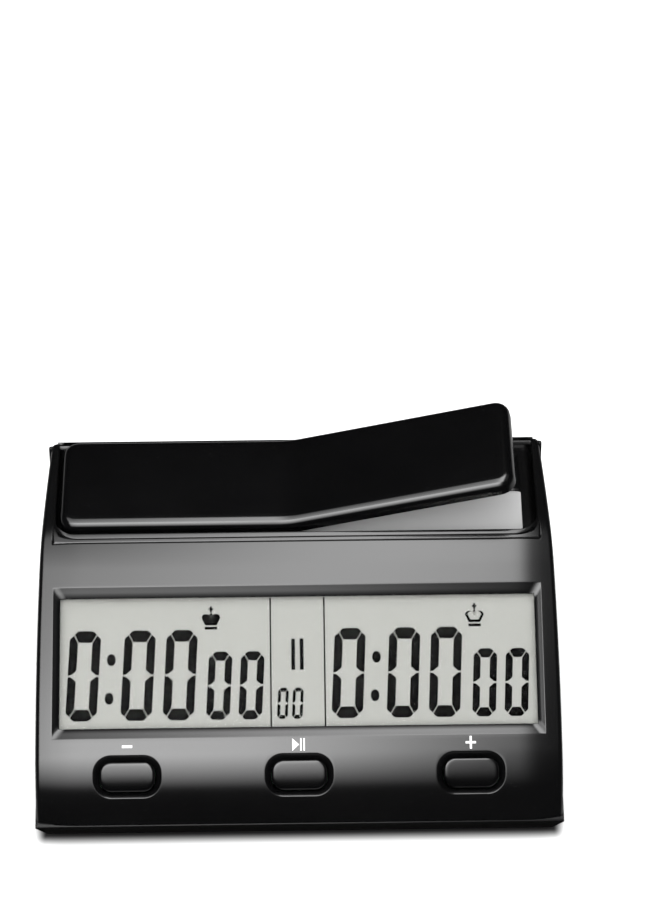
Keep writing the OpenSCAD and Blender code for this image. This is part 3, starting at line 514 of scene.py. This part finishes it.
def well_floor():
    """Floor height over the bay: a ramp from the front wall to the ridge's flat top, then down to the gutter.

    The ridge's ends fall over a rounded step. Cells where the rocker's web and posts pass are left out."""
    half = bay_half + 0.4
    x = np.unique(np.round(np.concatenate([np.linspace(-half, half, 60)] + [sign * np.concatenate(
        [ridge_half - np.linspace(0, 4, 14), [ridge_half + 0.15, web_opening[0], *post_opening[:2]]])
        for sign in (-1, 1)]), 3))
    corner = np.clip(np.abs(x) - (bay_half - bay_corner), 0, bay_corner)
    start = bay_front + bay_corner - np.sqrt(bay_corner ** 2 - corner ** 2) - 0.3
    y = np.unique(np.round(np.concatenate([
        np.linspace(bay_front - 0.3, ridge_y0, 16), np.linspace(ridge_y0, ridge_y1, 7),
        np.linspace(ridge_y1, ridge_back, 12), np.linspace(ridge_back, back_y - 0.8, 5),
        [rocker_middle + sign * reach for sign in (-1, 1) for reach in (web_opening[1], post_opening[2])]]), 3))
    middle_x, middle_y = np.abs(x[1:] + x[:-1])[None] / 2, np.abs((y[1:] + y[:-1]) / 2 - rocker_middle)[:, None]
    kept = ~((middle_x < web_opening[0]) & (middle_y < web_opening[1])
             | (middle_x > post_opening[0]) & (middle_x < post_opening[1]) & (middle_y < post_opening[2]))
    on_plate = (middle_x < ridge_half) & (y[1:, None] < ridge_y0 + 0.01)
    y = np.maximum(y[:, None], start[None])
    ramp = np.clip((y - bay_front) / (ridge_y0 - bay_front), 0, 1)
    fall = np.clip((ridge_back - y) / (ridge_back - ridge_y1), 0, 1)
    end = np.sqrt(1 - (1 - np.clip((ridge_half - np.abs(x)) / 3.6, 0, 1)) ** 2)[None]
    end = np.where(np.abs(x)[None] > ridge_half, 0, 0.80 + 0.20 * end)
    z = gutter_z + (ridge_top - gutter_z) * np.minimum(ramp, fall) * end
    grid = np.stack([x[None] + 0 * y, y, z], -1)
    return [(grid, False, kept & on_plate)], [(grid, False, kept & ~on_plate)]


well = add_mesh("well_rim", well_rim(), "case", case_black)
# painted reflection: the ridge's plate is a flat matte mid grey in place of gloss black, standing in for the
# bright reflection under the raised arm
painted_reflection_grey = moulded("grey_plate_painted_reflection", (0.36, 0.36, 0.36), (0.39, 0.39, 0.39), 0.6, 0.04, 0.1,
                     specular=0.1)
plate_sheet, gutter_sheet = well_floor()
for name, sheet, slot, finish in (("well_plate", plate_sheet, "switch_plastic", painted_reflection_grey),
                                  ("well_floor", gutter_sheet, "case_black", case_black)):
    floor_wall = add_mesh(name, sheet, "case", finish).modifiers.new("wall", "SOLIDIFY")
    floor_wall.thickness = 1.2 * MM
    floor_wall.offset = -1

# ---------------------------------------------------------------------------------------------
# Rocker: a hollow lever in gloss black ABS with two arms, hinged on a steel pin under its middle.
# It rests with its left arm down; its top edge is rounded, and a smooth bend joins the arms.
arm_length, rocker_depth, rocker_skirt = 72.8, 37.2, 4.8
arm_angle, bend_radius = np.radians(7.15), 30.0
rocker_corner, rocker_edge = 5.0, 3.0
pivot_z, pivot_drop = 38.8281, 20.0
bar_drop = 0.12                                 # the middle of the bar's top is this far below pivot_drop
rocker_wall = 1.7


def turn_to_rest(points, angle):
    """Turns points given about the pivot by an angle that lifts the right side, and puts them in place."""
    x, y, z = points[..., 0], points[..., 1], points[..., 2]
    return np.stack([x * np.cos(angle) - z * np.sin(angle), y + rocker_middle,
                     x * np.sin(angle) + z * np.cos(angle) + pivot_z], -1)


def bend(points):
    """Bends a flat bar upwards on both sides of its middle, then turns it about the pivot to rest.

    Within the bend the bar follows a circle; outside it each arm is straight."""
    x, y, z = points[..., 0], points[..., 1], points[..., 2]
    half = bend_radius * arm_angle
    angle = np.clip(x / bend_radius, -arm_angle, arm_angle)
    beyond = x - np.clip(x, -half, half)
    cx = bend_radius * np.sin(angle) + beyond * np.cos(angle)
    cz = bend_radius * (1 - np.cos(angle)) + np.abs(beyond) * np.sin(arm_angle)
    px, pz = cx - z * np.sin(angle), cz + z * np.cos(angle) + pivot_drop - bar_drop
    return turn_to_rest(np.stack([px, y, pz], -1), arm_angle)


def rocker_shell():
    """Rings inside the shell out to the skirt, then outside up, over the edge and back in."""
    cells = (110, 26)

    def at(inset, z):
        outline = ring(2 * (arm_length - inset), rocker_depth - 2 * inset, max(rocker_corner - inset, 0),
                       *cells)
        return np.column_stack([outline, np.full(len(outline), z)])
    rows = [at(0, -rocker_skirt), at(0, -rocker_edge)]
    for a in np.linspace(0, np.pi / 2, 10)[1:]:
        rows.append(at(rocker_edge * (1 - np.cos(a)), -rocker_edge * (1 - np.sin(a))))
    rows += [at(inset, 0.0) for inset in (4.5, 7, 10, 13, 16, rocker_depth / 2)]
    inner = [at(rocker_wall, -rocker_skirt), at(rocker_wall, -rocker_edge)]
    for a in np.linspace(0, np.pi / 2, 5)[1:]:
        inner.append(at(rocker_wall + 1.2 * (1 - np.cos(a)), -rocker_wall - 1.3 + 1.3 * np.sin(a)))
    inner.append(at(rocker_depth / 2, -rocker_wall))
    stack = np.stack(inner[::-1] + rows)
    return [(bend(stack), True)]


rocker_black = moulded("rocker_gloss_black", (0.001, 0.001, 0.0012), (0.002, 0.002, 0.0022), 0.16,
                       0.02, 0.04, dust=0.010)
rocker = add_mesh("rocker_skin", rocker_shell(), "rocker", rocker_black)


def turned(profile_points, sides=32):
    """Solid of revolution about a vertical axis from (radius, height) points."""
    r, h = np.array(profile_points, float).T
    a = np.linspace(0, 2 * np.pi, sides, endpoint=False)
    return np.stack([r[:, None] * np.cos(a), r[:, None] * np.sin(a), h[:, None] + 0 * a], -1)


# the posts under the arms that work the switches, and the web with the hub on the pivot pin
post_distance, post_radius, post_low, post_high = 30.0, 2.0, -1.05, 18.6
hub_radius, pin_radius, hub_half, web_half = 4.5, 1.55, 10.0, 2.5
for side_name, sign in (("left", -1), ("right", 1)):
    post = turned([(0, post_high), (post_radius, post_high), (post_radius, post_low + 0.3),
                   (post_radius - 0.3, post_low), (0, post_low)]) + [sign * post_distance, 0, 0]
    lean = arm_angle * (1 + sign)
    add_mesh(f"rocker_post_{side_name}", [(turn_to_rest(post, lean), True)], "rocker",
             rocker_black)


def hub_and_web():
    """Hub ring round the pin, open in the middle, its outline drawn up into a plate under the arms."""
    a = np.linspace(-np.pi / 2, 1.5 * np.pi, 97)[:-1]
    outer = hub_radius * np.stack([np.cos(a), np.sin(a)], 1)
    in_web = (np.abs(outer[:, 0]) < web_half) & (outer[:, 1] > 0)
    outer[:, 1] = np.where(in_web, pivot_drop - rocker_wall / 2, outer[:, 1])
    inner = pin_radius * np.stack([np.cos(a), np.sin(a)], 1)
    loops = [(outer, -hub_half), (outer, hub_half), (inner, hub_half), (inner, -hub_half),
             (outer, -hub_half)]
    return np.stack([np.stack([o[:, 0], 0 * a + y, o[:, 1]], -1) for o, y in loops])


add_mesh("rocker_web", [(turn_to_rest(hub_and_web(), arm_angle), True)], "rocker",
         rocker_black)
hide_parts("rocker_lever")

# ---------------------------------------------------------------------------------------------
# Keys: three caps in gloss black ABS that stand a little proud of the nose. Each slides in its
# hole in the case, on the switch below it, and has a rounded edge.
key_proud, key_skirt, key_edge = 0.45, 3.6, 0.9
key_crown = 0.45                                # how much further the cap falls to its lower edge
key_black = moulded("key_gloss_black", (0.001, 0.001, 0.0012), (0.002, 0.002, 0.0022), 0.17, 0.02, 0.04)


def key_cap(x):
    """Rings from the hidden lower end up the wall, over the rounded edge and in to the middle of the cap."""
    def at(grow, depth):
        outline = ring(key_width + 2 * grow, key_height + 2 * grow, max(key_radius + grow, 0), *key_cells)
        return outline, depth
    rows = [at(-key_height / 2, key_skirt), at(0, key_skirt), at(0, key_edge - key_proud)]
    for a in np.linspace(0, np.pi / 2, 8)[1:]:
        rows.append(at(-key_edge * (1 - np.cos(a)), -key_proud + key_edge * (1 - np.sin(a))))
    rows += [at(-g, -key_proud) for g in (1.6, 2.4, 3.2, 3.9)] + [at(-key_height / 2, -key_proud)]
    fall = [key_crown * (0.5 - outline[:, 1] / key_height) ** 2 for outline, _ in rows]
    rings = [(outline, depth + drop) for (outline, depth), drop in zip(rows, fall)]
    return rings_on_case(rings, key_middle, x)


for name, body, x in zip(("minus", "play", "plus"), ("minus_key", "play_key", "plus_key"), key_places):
    cap = add_mesh(f"key_{name}_cap", [(key_cap(x), True)], body, key_black)
    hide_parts(f"key_{name}")

# ---------------------------------------------------------------------------------------------
# Display: a reflective liquid crystal panel held behind a clear window in the case. Its segments
# are thin black shapes in the glass; the digits lean a little to the right.
glass_depth = 3.25                              # from the face down to the panel's surface
segment_thickness, segment_lift = 0.02, 0.004


def on_face(flat, depth):
    """Points (x, u) of the face's plane, pressed in by depth along the face's normal."""
    x, u = flat[..., 0], flat[..., 1]
    return np.stack([x, face_y + u * np.cos(face_slope) + depth * np.sin(face_slope),
                     face_z + u * np.sin(face_slope) - depth * np.cos(face_slope)], -1)


def plates(name, outlines, depth, thickness, material):
    """Flat plates of one thickness, one for each outline of (x, u) points, joined as one piece."""
    points, faces, start = [], [], 0
    for outline in outlines:
        outline = np.array(outline, float)
        area = np.sum(outline[:, 0] * np.roll(outline[:, 1], -1) - outline[:, 1] * np.roll(outline[:, 0], -1))
        outline = outline if area > 0 else outline[::-1]
        count = len(outline)
        points += [on_face(outline, depth - thickness), on_face(outline, depth)]
        top, low = np.arange(start, start + count), np.arange(start + count, start + 2 * count)
        faces += [top.tolist(), low[::-1].tolist()]
        faces += np.stack([low, np.roll(low, -1), np.roll(top, -1), top], 1).tolist()
        start += 2 * count
    mesh = bpy.data.meshes.new(name)
    mesh.from_pydata((np.concatenate(points) * MM).tolist(), [], faces)
    mesh.materials.append(material)
    piece = bpy.data.objects.new(name, mesh)
    bpy.context.scene.collection.objects.link(piece)
    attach(piece, "case")
    return piece


def box(x0, x1, u0, u1):
    """Rectangle from its two ends across and its two ends up the face."""
    return [(x0, u0), (x1, u0), (x1, u1), (x0, u1)]


def zero(x, u, width, height, bar, cross, corner, gap):
    """The six lit segments of a zero: bars with cut outer corners, mitred joints and a notch at half height."""
    w, h, g = width, height, gap / 2
    top = [(corner + g, h), (w - corner - g, h), (w - corner / 2 - g, h - corner / 2 + g),
           (w - bar - g, h - cross), (bar + g, h - cross), (corner / 2 + g, h - corner / 2 + g)]
    notch = bar * 0.62
    upper = [(0, h - corner - g), (corner / 2, h - corner / 2 - g), (bar, h - cross - g - 0.1),
             (bar, h / 2 + g + notch), (bar * 0.35, h / 2 + g + 0.12), (0, h / 2 + g + 0.12)]

    def mirror_u(shape):
        return [(a, h - b) for a, b in shape]

    def mirror_x(shape):
        return [(w - a, b) for a, b in shape]
    shapes = [top, mirror_u(top), upper, mirror_u(upper), mirror_x(upper), mirror_x(mirror_u(upper))]
    lean = np.tan(np.radians(2.9))
    return [np.array([(x + a + lean * b, u + b) for a, b in shape]) for shape in shapes]


def oval(x, u, width, height, sides=28):
    """Ellipse centred at (x, u)."""
    a = np.linspace(0, 2 * np.pi, sides, endpoint=False)
    return np.stack([x + width / 2 * np.cos(a), u + height / 2 * np.sin(a)], 1)


big = dict(width=9.8, height=28.8, bar=2.65, cross=3.7, corner=2.5, gap=0.34)
small = dict(width=7.4, height=21.7, bar=2.25, cross=2.9, corner=2.0, gap=0.32)
tiny = dict(width=3.35, height=9.9, bar=0.95, cross=1.3, corner=0.9, gap=0.2)
digits_low = 10.96
segments = []
for offset in (0.0, 83.25):                     # the left and right player's time
    for x in (-73.0, -55.8, -42.6):
        segments += zero(x + offset, digits_low, **big)
    for x in (-29.0, -18.9):
        segments += zero(x + offset, digits_low, **small)
    segments += [oval(-58.6 + offset, 30.4, 2.75, 3.8), oval(-59.25 + offset, 18.1, 2.75, 3.8)]
for x in (-6.8, -2.15):
    segments += zero(x, digits_low, **tiny)
for x in (-2.1, 0.55):                          # pause bars
    segments.append(box(x, x + 1.2, 26.6, 36.55))
for x in (-8.6, 8.35):                          # lines that part the display in three
    segments.append(box(x - 0.24, x + 0.24, 8.2, 49.8))


def crown(x, u, width, height, solid):
    """Chess king's sign: a banded foot, a crown of two rounded lobes and a small cross on top."""
    w, h = width, height
    foot = [box(x - 0.33 * w, x + 0.33 * w, u, u + 0.12 * h)]
    t = np.linspace(0, np.pi, 14)
    right = np.stack([x + 0.27 * w + 0.23 * w * np.cos(t), u + 0.50 * h + 0.17 * h * np.sin(t)], 1)
    left = np.stack([2 * x - right[::-1, 0], right[::-1, 1]], 1)
    body = np.concatenate([[(x - 0.30 * w, u + 0.18 * h), (x + 0.30 * w, u + 0.18 * h)], right, left])
    cross = [box(x - 0.05 * w, x + 0.05 * w, u + 0.74 * h, u + h),
             box(x - 0.13 * w, x + 0.13 * w, u + 0.84 * h, u + 0.91 * h)]
    if solid:
        return foot + [body] + cross + [oval(x, u + 0.63 * h, 0.16 * w, 0.18 * h, 16)]
    middle = body.mean(0)
    inside = middle + (body - middle) * (1 - 0.9 / w * 1.9)
    ahead = np.roll(np.arange(len(body)), -1)
    band = [[body[i], body[j], inside[j], inside[i]] for i, j in enumerate(ahead)]
    return foot + band + cross + [oval(x, u + 0.66 * h, 0.12 * w, 0.14 * h, 16)]


segments += crown(-27.3, 39.8, 5.9, 7.5, True) + crown(55.8, 39.8, 5.9, 7.5, False)
ink = moulded("segment_black", (0.003, 0.003, 0.003), (0.005, 0.005, 0.005), 0.6, 0.05, 0.0, specular=0.0)
plates("display_segments", segments, glass_depth - segment_lift, segment_thickness, ink)

# grey-green reflective glass: a soft cloud of tone and the fine rubbed grain of the polariser
panel_glass = moulded("panel_glass", (0.303, 0.307, 0.287), (0.313, 0.317, 0.297), 0.55, 0.04, 0.02,
                      grain_scale=6000, specular=0.1)
clear = bpy.data.materials.new("clear_window")
clear.use_nodes = True
shader = clear.node_tree.nodes["Principled BSDF"]
shader.inputs["Base Color"].default_value = (1, 1, 1, 1)
shader.inputs["Transmission Weight"].default_value = 1
shader.inputs["IOR"].default_value = 1.06
window_nodes, window_link = clear.node_tree.nodes, clear.node_tree.links.new
window_place, window_skin = window_nodes.new("ShaderNodeTexCoord"), window_nodes.new("ShaderNodeGroup")
window_skin.node_tree = grain
haze = window_nodes.new("ShaderNodeMapRange")   # a faint uneven haze of handling on the clear sheet
haze.inputs["To Min"].default_value, haze.inputs["To Max"].default_value = 0.015, 0.03
window_link(window_place.outputs["Object"], window_skin.inputs["Coordinate"])
window_link(window_skin.outputs["Patch"], haze.inputs["Value"])
window_link(haze.outputs["Result"], shader.inputs["Roughness"])

# ---------------------------------------------------------------------------------------------
# Printed signs above the keys: white ink on the case, each a hair thick. They are a minus, a
# play and pause sign, and a plus.
sign_u, sign_stroke, ink_thickness = 2.25, 0.66, 0.02
sign_half, play_half, minus_half = 1.6, 1.95, 0.42
signs = [box(key_places[0] - sign_half, key_places[0] + sign_half,
             sign_u - minus_half, sign_u + minus_half),
         [(-2.1, sign_u - play_half), (0.0, sign_u), (-2.1, sign_u + play_half)],
         box(0.38, 0.80, sign_u - play_half, sign_u + play_half),
         box(1.38, 1.80, sign_u - play_half, sign_u + play_half),
         [(key_places[2] + a * sign_half * p + b * sign_stroke / 2, sign_u + q) for a, b, p, q in
          ((-1, 0, 1, -0.35), (0, -1, 0, -0.35), (0, -1, 0, -2), (0, 1, 0, -2), (0, 1, 0, -0.35),
           (1, 0, 1, -0.35), (1, 0, 1, 0.35), (0, 1, 0, 0.35), (0, 1, 0, 2), (0, -1, 0, 2), (0, -1, 0, 0.35),
           (-1, 0, 1, 0.35))]]
white_ink = moulded("white_ink", (0.80, 0.80, 0.80), (0.86, 0.86, 0.86), 0.5, 0.05, 0.1, specular=0.2)
plates("printed_signs", signs, -0.003, ink_thickness, white_ink)

# ---------------------------------------------------------------------------------------------
# Nodes kept from the construction model, each with the finish of the real piece.
base_black = moulded("base_satin_black", (0.002, 0.002, 0.0022), (0.004, 0.004, 0.0042), 0.30, 0.04, 0.25,
                     grain_scale=1800, dust=0.012)
dark_plastic = moulded("switch_plastic", (0.03, 0.03, 0.03), (0.05, 0.05, 0.05), 0.45, 0.05, 0.2)
plated_steel = moulded("plated_steel", (0.52, 0.52, 0.53), (0.62, 0.62, 0.62), 0.28, 0.08, 0.2, metallic=1.0)
black_rubber = moulded("black_rubber", (0.018, 0.018, 0.018), (0.028, 0.028, 0.028), 0.75, 0.08, 0.5,
                       grain_scale=2200, specular=0.3)
white_plastic = moulded("holder_white", (0.62, 0.62, 0.58), (0.70, 0.70, 0.66), 0.5, 0.05, 0.2)
solder_mask = moulded("solder_mask_green", (0.02, 0.16, 0.06), (0.03, 0.20, 0.08), 0.35, 0.06, 0.2)
epoxy = moulded("black_epoxy", (0.008, 0.008, 0.008), (0.016, 0.016, 0.016), 0.25, 0.05, 0.1)
blue_sleeve = moulded("blue_sleeve", (0.02, 0.03, 0.16), (0.03, 0.04, 0.22), 0.35, 0.05, 0.1)
brass = moulded("brass_disc", (0.72, 0.52, 0.22), (0.80, 0.60, 0.28), 0.3, 0.08, 0.2, metallic=1.0)
cell_sleeve = moulded("cell_sleeve", (0.03, 0.22, 0.09), (0.05, 0.28, 0.12), 0.3, 0.05, 0.1, coat=0.4)
wire_finishes = {slot: moulded(slot, colour, lighter, 0.5, 0.05, 0.1) for slot, colour, lighter in (
    ("wire_red", (0.5, 0.02, 0.02), (0.6, 0.04, 0.03)), ("wire_black", (0.015,) * 3, (0.025,) * 3),
    ("wire_blue", (0.02, 0.04, 0.3), (0.03, 0.06, 0.4)), ("wire_grey", (0.3,) * 3, (0.4,) * 3))}
finish_of_slot = {
    "case_black": case_black, "base_black": base_black, "rocker_black": rocker_black, "key_black": key_black,
    "switch_plastic": dark_plastic, "steel": plated_steel, "rubber": black_rubber, "clear_window": clear,
    "lcd_glass": panel_glass, "holder_plastic": white_plastic, "board_green": solder_mask,
    "epoxy_black": epoxy, "capacitor_sleeve": blue_sleeve, "buzzer_brass": brass, "cell_wrap": cell_sleeve,
    **wire_finishes}
slot_of_node = {part["node"]: part["material_slot"] for part in frame["record"]["subparts"]}
for name, node in frame["nodes"].items():
    node.data.materials.clear()
    node.data.materials.append(finish_of_slot[slot_of_node[name]])

base = frame["nodes"]["base_shell"]
base.modifiers.new("join", "WELD").merge_threshold = 0.00001
soft_edge = base.modifiers.new("soft_edge", "BEVEL")
soft_edge.width = 0.00025
soft_edge.segments = 2
soft_edge.limit_method = "ANGLE"
soft_edge.angle_limit = np.radians(28)

# ---------------------------------------------------------------------------------------------
# Studio: a pale floor under even white light, with a painted contact shadow in its colour in front of the base,
# and one large curved panel over the clock that only its gloss sees.
floor_mesh = bpy.data.meshes.new("floor")
floor_half = 6.0
floor_mesh.from_pydata([(x * floor_half, y * floor_half, 0) for x, y in ((-1, -1), (1, -1), (1, 1), (-1, 1))],
                       [], [(0, 1, 2, 3)])
floor = bpy.data.objects.new("floor", floor_mesh)
bpy.context.scene.collection.objects.link(floor)
floor_painted_shadow = bpy.data.materials.new("floor_painted_shadow")
floor_painted_shadow.use_nodes = True
floor_mesh.materials.append(floor_painted_shadow)
fn, flink = floor_painted_shadow.node_tree.nodes, floor_painted_shadow.node_tree.links.new
fn["Principled BSDF"].inputs["Roughness"].default_value = 1
fn["Principled BSDF"].inputs["Specular IOR Level"].default_value = 0
ground, ground_axes = fn.new("ShaderNodeTexCoord"), fn.new("ShaderNodeSeparateXYZ")
flink(ground.outputs["Object"], ground_axes.inputs["Vector"])
out_x, beneath, both = (fn.new("ShaderNodeMath") for _ in range(3))
shade = fn.new("ShaderNodeMix")
out_x.operation = "ABSOLUTE"
flink(ground_axes.outputs["X"], out_x.inputs[0])


def set_range(tree, value, numbers, smooth=True):
    """Map Range node: takes value from the first two numbers to the last two, with or without easing."""
    node = tree.nodes.new("ShaderNodeMapRange")
    node.interpolation_type = "SMOOTHSTEP" if smooth else "LINEAR"
    for socket, number in zip(("From Min", "From Max", "To Min", "To Max"), numbers):
        node.inputs[socket].default_value = number
    tree.links.new(value, node.inputs["Value"])
    return node


# painted contact shadow: the floor's colour darkens just in front of the base, stops at its sides and ends out
# of sight under it
before = set_range(floor_painted_shadow.node_tree, ground_axes.outputs["Y"], (-0.0632, -0.0578, 0.0, 1.0))
ends = set_range(floor_painted_shadow.node_tree, out_x.outputs[0], (0.0795, 0.0840, 1.0, 0.0))
hidden = set_range(floor_painted_shadow.node_tree, ground_axes.outputs["Y"], (-0.045, -0.030, 1.0, 0.0), False)
beneath.operation = both.operation = "MULTIPLY"
flink(before.outputs["Result"], beneath.inputs[0])
flink(hidden.outputs["Result"], beneath.inputs[1])
flink(beneath.outputs[0], both.inputs[0])
flink(ends.outputs["Result"], both.inputs[1])
# painted shadow: over the mask the floor's colour goes from pale grey to near black
shade.data_type = "RGBA"
shade.inputs[6].default_value = (0.93, 0.93, 0.93, 1)
shade.inputs[7].default_value = (0.02, 0.02, 0.02, 1)
flink(both.outputs[0], shade.inputs[0])
flink(shade.outputs[2], fn["Principled BSDF"].inputs["Base Color"])
floor.visible_glossy = False

world = bpy.data.worlds.new("studio")
bpy.context.scene.world = world
world.use_nodes = True
wn, wlink = world.node_tree.nodes, world.node_tree.links.new
background = wn["Background"]
background.inputs["Color"].default_value = (1, 1, 1, 1)
world.cycles.sampling_method = "NONE"
path = wn.new("ShaderNodeLightPath")
reflected = wn.new("ShaderNodeMath")            # a mirrored ray that has not passed through the window
reflected.operation = "SUBTRACT"
reflected.use_clamp = True
wlink(path.outputs["Is Glossy Ray"], reflected.inputs[0])
wlink(path.outputs["Is Transmission Ray"], reflected.inputs[1])
strength = wn.new("ShaderNodeMapRange")         # full for plain light, almost nothing for gloss
strength.inputs["To Min"].default_value = 2.0
direction, toward = wn.new("ShaderNodeTexCoord"), wn.new("ShaderNodeSeparateXYZ")
wlink(direction.outputs["Generated"], toward.inputs["Vector"])
below, beyond, behind = (set_range(world.node_tree, toward.outputs[axis], numbers) for axis, numbers in (
    ("Z", (-0.25, -0.05, 1.0, 0.0)), ("Z", (-0.90, -0.70, 0.0, 0.5)), ("Y", (-0.5, 0.0, 0.0, 1.0))))
sheen, level = wn.new("ShaderNodeMath"), wn.new("ShaderNodeMath")
sheen.operation = "MULTIPLY_ADD"                # the sides and the back mirror a dim pale floor
level.operation = "MULTIPLY"
wlink(below.outputs["Result"], level.inputs[0])
wlink(beyond.outputs["Result"], level.inputs[1])
wlink(level.outputs[0], sheen.inputs[0])
wlink(behind.outputs["Result"], sheen.inputs[1])
sheen.inputs[2].default_value = 0.01
wlink(sheen.outputs[0], strength.inputs["To Max"])
wlink(reflected.outputs[0], strength.inputs["Value"])
wlink(strength.outputs["Result"], background.inputs["Strength"])

panel_radius, panel_half_width = 0.42, 0.36


def soft_panel():
    """Part of a cylinder round the clock's width, from low in front to just behind the top."""
    turn = np.radians(np.linspace(15, 125, 60))
    x = np.linspace(-panel_half_width, panel_half_width, 30)
    grid = np.stack([x[None] + 0 * turn[:, None], -panel_radius * np.cos(turn)[:, None] + 0 * x,
                     0.03 + panel_radius * np.sin(turn)[:, None] + 0 * x], -1)
    index = np.arange(grid.shape[0] * grid.shape[1]).reshape(grid.shape[:2])
    quads = np.stack([index[:-1, :-1], index[:-1, 1:], index[1:, 1:], index[1:, :-1]], -1).reshape(-1, 4)
    mesh = bpy.data.meshes.new("soft_panel")
    mesh.from_pydata(grid.reshape(-1, 3).tolist(), [], quads.tolist())
    return bpy.data.objects.new("soft_panel", mesh)


panel = soft_panel()
bpy.context.scene.collection.objects.link(panel)
for kind in ("camera", "diffuse", "transmission", "shadow", "volume_scatter"):
    setattr(panel, f"visible_{kind}", False)
glow = bpy.data.materials.new("panel_glow")
glow.use_nodes = True
gn, glink = glow.node_tree.nodes, glow.node_tree.links.new
gn.remove(gn["Principled BSDF"])


def ramp(value, low, high, at_low=0.0, at_high=1.0, smooth=True):
    """Takes value from low..high to at_low..at_high."""
    return set_range(glow.node_tree, value, (low, high, at_low, at_high), smooth).outputs["Result"]


def combine(operation, a, b):
    """Math node on two values, either of which may be a number."""
    node = gn.new("ShaderNodeMath")
    node.operation = operation
    for socket, value in zip(node.inputs, (a, b)):
        if isinstance(value, (int, float)):
            socket.default_value = value
        else:
            glink(value, socket)
    return node.outputs[0]


# the panel's glow: its low part fades to the right, its high part a little to the left, and it
# ends sharply on the right, low in front and beyond the top
spot, axes = gn.new("ShaderNodeTexCoord"), gn.new("ShaderNodeSeparateXYZ")
glink(spot.outputs["Object"], axes.inputs["Vector"])
across = axes.outputs["X"]
degrees = combine("MULTIPLY", combine("ARCTAN2", combine("SUBTRACT", axes.outputs["Z"], 0.03),
                                      combine("MULTIPLY", axes.outputs["Y"], -1.0)), 180 / np.pi)
low_part = combine("MULTIPLY", ramp(across, -0.04, 0.115, 11.8, 1.2), ramp(degrees, 23, 66, 0, 1, False))
low_part = combine("MULTIPLY", low_part, ramp(across, -0.28, -0.09, 0.66, 1, False))
left_level = ramp(degrees, 76, 106, 4.8, 2.3, False)
rise = ramp(across, -0.10, 0.012, 0, 1, False)
high_part = combine("ADD", left_level, combine("MULTIPLY", rise, combine("SUBTRACT", 8.6, left_level)))
high_part = combine("MULTIPLY", high_part, ramp(degrees, 112, 124, 1, 0))
share = ramp(degrees, 68.5, 76.5)
light = combine("ADD", combine("MULTIPLY", low_part, combine("SUBTRACT", 1.0, share)),
                combine("MULTIPLY", high_part, share))
light = combine("MULTIPLY", light, ramp(across, 0.092, 0.168, 1, 0.04))
passed = gn.new("ShaderNodeLightPath").outputs["Is Transmission Ray"]
light = combine("MULTIPLY", light, combine("SUBTRACT", 1.0, passed))
emission = gn.new("ShaderNodeEmission")
glink(light, emission.inputs["Strength"])
glink(emission.outputs[0], gn["Material Output"].inputs["Surface"])
panel.data.materials.append(glow)
